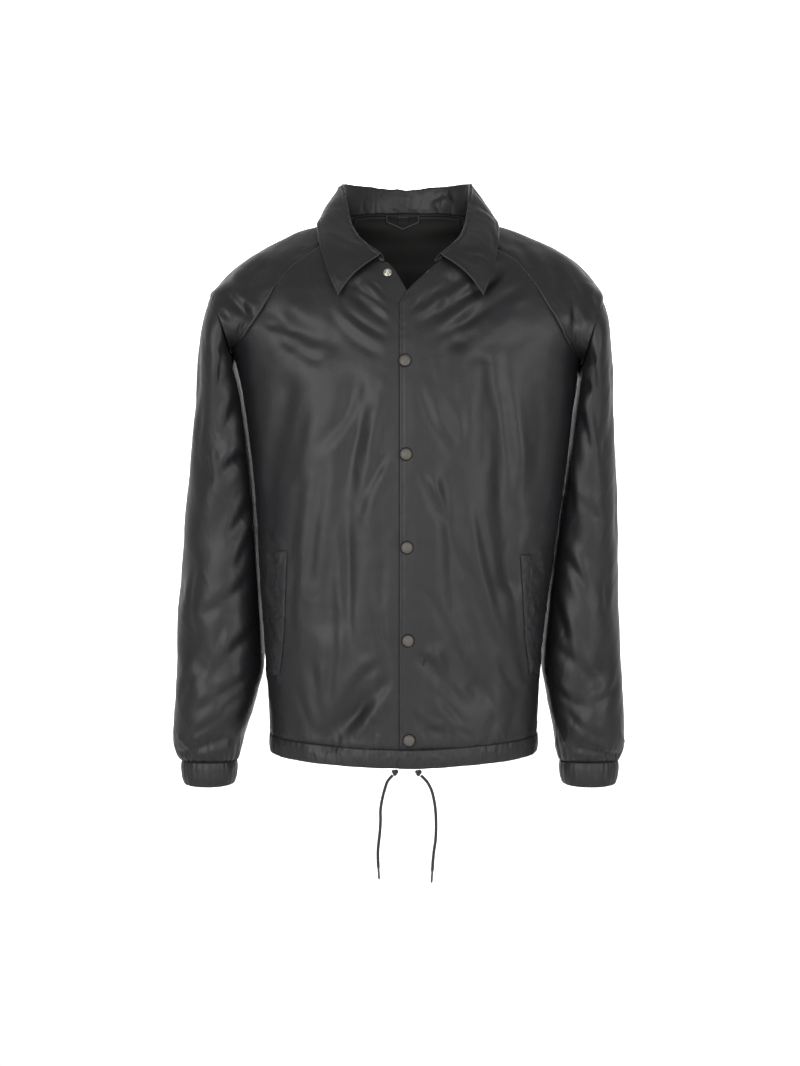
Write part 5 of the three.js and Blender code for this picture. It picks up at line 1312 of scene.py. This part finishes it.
def makeWelt(side):
    name = "right" if side < 0 else "left"
    (topX, topZ), (lowX, lowZ) = welts[side]
    u, v = np.linspace(-1, 1, 15)[:, None], np.linspace(0, 1, 81)[None]
    z = mix(topZ, lowZ, v) + 0 * u
    bend = 2.2 * np.sin(np.pi * v) - 1.0 * np.sin(2 * np.pi * v)
    x = mix(topX, lowX, v) + side * u * welts["width"] / 2 - side * bend
    x = x + 0.5 * softNoise(z, 40 * u, 17, 600 + side)
    points, normals, _, _ = pieces[f"front_{name}"]
    place, out = dropOn(points, normals, x, z)
    pillow = (1 - u**6) * (1 - (2 * v - 1) ** 24)
    long = z - lowZ + 0 * u
    lift = mix(welts["low"], welts["high"], pillow) + 0.5 * (crumple(x, z, 12, 620 + side) - 0.2) * pillow
    lift = lift + 0.35 * softNoise(long, 9 * u, 6, 610 + side) * pillow
    sheet = place + out * lift[..., None]
    piece = clothSheet(f"pocket_welt_{name}", sheet, out, welts["wall"], "nylon", nylonCloth, nylonCloth)
    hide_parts(f"welt_{name}")
    for n in (1, -2):
        stitchFrom(f"welt_{name}_{n}", sheet[n], out[n])
    for n in (2, 5, -6, -3):
        stitchFrom(f"tack_{name}_{n}", sheet[:, n], out[:, n], pitch=1.4, long=1.2)
    declareCut(sheet)


snaps = {
    "heights": (-193, -311, -428, -545, -671), "start": -0.4, "drift": -0.0107, "radius": 7.8,
    "cap": [
        (0, -0.2), (6.5, -0.2), (7.0, 0.3), (7.1, 1.0), (6.9, 1.35), (6.6, 1.5), (6.45, 1.42), (6.3, 1.5), (6.0, 1.95),
        (5.2, 2.35), (4.0, 2.6), (2.3, 2.74), (0, 2.8),
    ],
    # Profile of the near-black ring of painted shade laid on the cloth round each cap's foot
    "shadeRing": [(6.8, -0.3), (8.5, -0.3), (8.7, 0.2), (8.4, 0.6), (7.8, 0.75), (7.2, 0.5)],
    "stud": [
        (0, -0.1), (5.2, -0.1), (5.4, 0.35), (5.0, 0.8), (4.0, 0.95), (3.2, 0.7), (2.5, 0.75), (2.3, 1.4), (2.1, 2.4),
        (2.35, 3.0), (2.1, 3.4), (1.2, 3.5), (0.9, 3.1), (0, 3.0),
    ],
    "socket": [
        (0, -0.1), (5.0, -0.1), (5.3, 0.4), (5.2, 1.9), (4.7, 2.5), (3.8, 2.6), (3.1, 2.4), (2.8, 1.4), (0, 1.2),
    ],
}


def stitchMesh(name, lines):
    rings, sides = np.array([-1, -0.72, 0, 0.72, 1.0]), 6
    sizes = np.array([0.25, 0.85, 1.0, 0.85, 0.25])
    turn = np.linspace(0, 2 * np.pi, sides, endpoint=False)
    allPoints, count = [], 0
    for line in lines:
        both = evenPath(np.concatenate([line["points"], line["normals"]], 1), line["pitch"] / 2)
        # evenPath reads the length of all six columns, so the spacing is worked out again on the points alone
        length = np.concatenate([[0], np.cumsum(np.linalg.norm(np.diff(both[:, :3], axis=0), axis=1))])
        at = np.arange(line["pitch"] / 2, length[-1], line["pitch"])
        if len(at) < 2:
            continue
        centre = np.stack([np.interp(at, length, both[:, k]) for k in range(3)], -1)
        up = unit(np.stack([np.interp(at, length, both[:, k]) for k in range(3, 6)], -1))
        ahead = np.stack([np.interp(at + 0.4, length, both[:, k]) for k in range(3)], -1)
        behind = np.stack([np.interp(at - 0.4, length, both[:, k]) for k in range(3)], -1)
        way = unit(ahead - behind)
        side = unit(np.cross(way, up))
        up = np.cross(side, way)
        r = line["radius"]
        along = rings[None, :, None, None] * line["long"] / 2 * way[:, None, None]
        across = sizes[None, :, None, None] * r * (np.cos(turn)[None, None, :, None] * side[:, None, None] + np.sin(turn)[None, None, :, None] * up[:, None, None])
        sink = up[:, None, None] * (0.12 - 0.3 * (rings**2)[None, :, None, None])
        allPoints.append((centre[:, None, None] + along + across + sink).reshape(-1, 3))
        count += len(at)
    points = np.concatenate(allPoints)
    i, j = np.meshgrid(np.arange(4), np.arange(sides), indexing="ij")
    l = (j + 1) % sides
    one = np.stack([i * sides + j, (i + 1) * sides + j, (i + 1) * sides + l, i * sides + l], -1).reshape(-1, 4)
    quads = (one[None] + 30 * np.arange(count)[:, None, None]).reshape(-1, 4)
    mesh = bpy.data.meshes.new(name)
    caps = [[30 * n + 5 - k for k in range(6)] for n in range(count)] + [[30 * n + 24 + k for k in range(6)] for n in range(count)]
    mesh.from_pydata((points * mm).tolist(), [], quads.tolist() + caps)
    mesh.update()
    mergeDoubles(mesh)
    return mesh


for side in (-1, 1):
    makeFront(side)
makeBack()
print("body panels made")
for side in (-1, 1):
    makeShoulder(side)
    makeSleeve(side)
    makeCuff(side)
print("shoulders, sleeves and cuffs made")
hemMiddle = float(hemLine(0.0) + body["casing"] / 2)
rightStart = float(turnAt(np.array(float(body["underlapEdge"])), np.array(hemMiddle), 1))
leftStart = float(turnAt(np.array(float(body["overlapEdge"])), np.array(hemMiddle), 1))
makeCasing("hem_casing_right", "hem_right", rightStart, -90, -1)
makeCasing("hem_casing_left", "hem_left", leftStart, 90, 1)
makeCasing("hem_casing_back", "hem_back", 90, 270, 0)
makeCollar()
makeWelt(-1)
makeWelt(1)
patchPiece, patchPoints, patchOut = neckPiece(
    "neck_patch_sewn", "neck_patch", patch["width"], patch["drop"], patch["point"], patch["fromTop"], 4.1, "lining", finish["lining"]
)
labelPiece, labelPoints, _ = neckPiece(
    "neck_label_bare", "neck_label", patch["labelWidth"], patch["labelDrop"], 0, 2.2, 5.3, "label", finish["label"]
)
outline = np.concatenate([patchPoints[0, 1:], patchPoints[1:, -1], patchPoints[-1, 1:-1][::-1]])
bindingPiece = newObject(
    "neck_patch_binding", tubeMesh("neck_patch_binding", evenPath(outline, 1.5) + patchOut[20, 5] * 0.3, 0.55, 8), "lining", finish["tape"]
)
declareCut(patchPoints)
declareCut(labelPoints)
print("hem, collar and neck made")
leftPoints, leftNormals = pieces["front_left"][:2]
rightPoints, rightNormals = pieces["front_right"][:2]
for n, z in enumerate(snaps["heights"]):
    x = snaps["start"] + snaps["drift"] * (z - snaps["heights"][0])
    place, out = dropOn(leftPoints, leftNormals, x, z)
    out = bodyNormal(turnAt(np.array(x), np.array(float(z)), 1), np.array(float(z)))
    cap = newObject(f"snap_{n + 1}", turnedMesh(f"snap_{n + 1}", snaps["cap"], place, out, 56), "snap", finish["snap"])
    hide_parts(f"snap_cap_{n + 1}")
    # A near-black ring round the cap's foot: painted shade where the cap meets the cloth
    shadeRing = newObject(f"snap_shade_ring_{n + 1}", turnedMesh(f"snap_shade_ring_{n + 1}", snaps["shadeRing"] + [snaps["shadeRing"][0]], place, out, 56), "snap", finish["ring"])
place, out = dropOn(rightPoints, rightNormals, -22.5, -78)
stud = newObject("snap_stud", turnedMesh("snap_stud", snaps["stud"], place, out, 48), "nickel", finish["nickel"])
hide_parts("top_stud")
place, out = dropOn(leftPoints, leftNormals, 31.5, -80)
socket = newObject(
    "snap_socket", turnedMesh("snap_socket", snaps["socket"], place - out * body["wall"], -out, 48), "nickel", finish["nickel"]
)
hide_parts("top_socket")
stitches = newObject("topstitching", stitchMesh("topstitching", seamLines), "nylon", finish["thread"])
print("snaps and stitches made:", len(stitches.data.polygons), "faces of stitches")


# Studio: a pale floor that curves up behind, two large soft lights and a pale world
studio = {
    "floor": -1.25, "wall": 3.4, "bend": 1.6, "paper": "#F4F4F4",
    "lights": [  # name, place, size, power, aim
        ("key", (-1.5, -3.0, 0.25), (2.2, 2.0), 72, (0, 0, -0.4)),
        ("fill", (1.9, -2.8, 0.15), (2.0, 2.0), 50, (0, 0, -0.4)),
        ("paper", (0, 2.3, 1.5), (3.0, 0.6), 120, (0, 3.4, 0.5)),
    ],
    "world": 0.52,
}


def makeStudio(look):
    bend = np.radians(np.linspace(0, 90, 16))
    y = np.concatenate([[-6], look["wall"] - look["bend"] + look["bend"] * np.sin(bend), [look["wall"]]])
    z = np.concatenate([[look["floor"]], look["floor"] + look["bend"] * (1 - np.cos(bend)), [look["floor"] + 5]])
    x = np.linspace(-6, 6, 3)
    points = np.stack(np.broadcast_arrays(x[:, None], y[None], z[None]), -1) / mm
    mesh = meshFrom("paper_sweep", points.reshape(-1, 3), gridQuads(3, len(y)), 4)
    mergeDoubles(mesh)
    material, tree, shader = newMaterial("background paper, matt")
    where = addNode(tree, "ShaderNodeTexCoord")
    fibre = addNode(tree, "ShaderNodeTexNoise", None, {"Vector": (where, "Object"), "Scale": 3, "Detail": 2})
    tone = addNode(tree, "ShaderNodeMapRange", None, {"Value": (fibre, "Fac"), "To Min": 0.93, "To Max": 0.95})
    tree.links.new(tone.outputs["Result"], shader.inputs["Base Color"])
    shader.inputs["Roughness"].default_value = 0.95
    sweep = bpy.data.objects.new("paper_sweep", mesh)
    mesh.materials.append(material)
    bpy.context.scene.collection.objects.link(sweep)
    for name, place, size, power, aim in look["lights"]:
        light = bpy.data.lights.new(name, "AREA")
        light.shape = "RECTANGLE"
        light.size, light.size_y = size
        light.energy = power
        lamp = bpy.data.objects.new(name, light)
        lamp.location = place
        way = np.array(aim) - np.array(place)
        flat = math.hypot(way[0], way[1])
        lamp.rotation_euler = (math.atan2(flat, -way[2]), 0, math.atan2(-way[0], way[1]) if flat else 0)
        bpy.context.scene.collection.objects.link(lamp)
    world = bpy.data.worlds.new("studio")
    world.use_nodes = True
    world.node_tree.nodes["Background"].inputs["Color"].default_value = (1, 1, 1, 1)
    world.node_tree.nodes["Background"].inputs["Strength"].default_value = look["world"]
    bpy.context.scene.world = world
    bpy.context.scene.view_settings.view_transform = "Standard"


makeStudio(studio)
print("studio made")

bpy.context.view_layer.update()
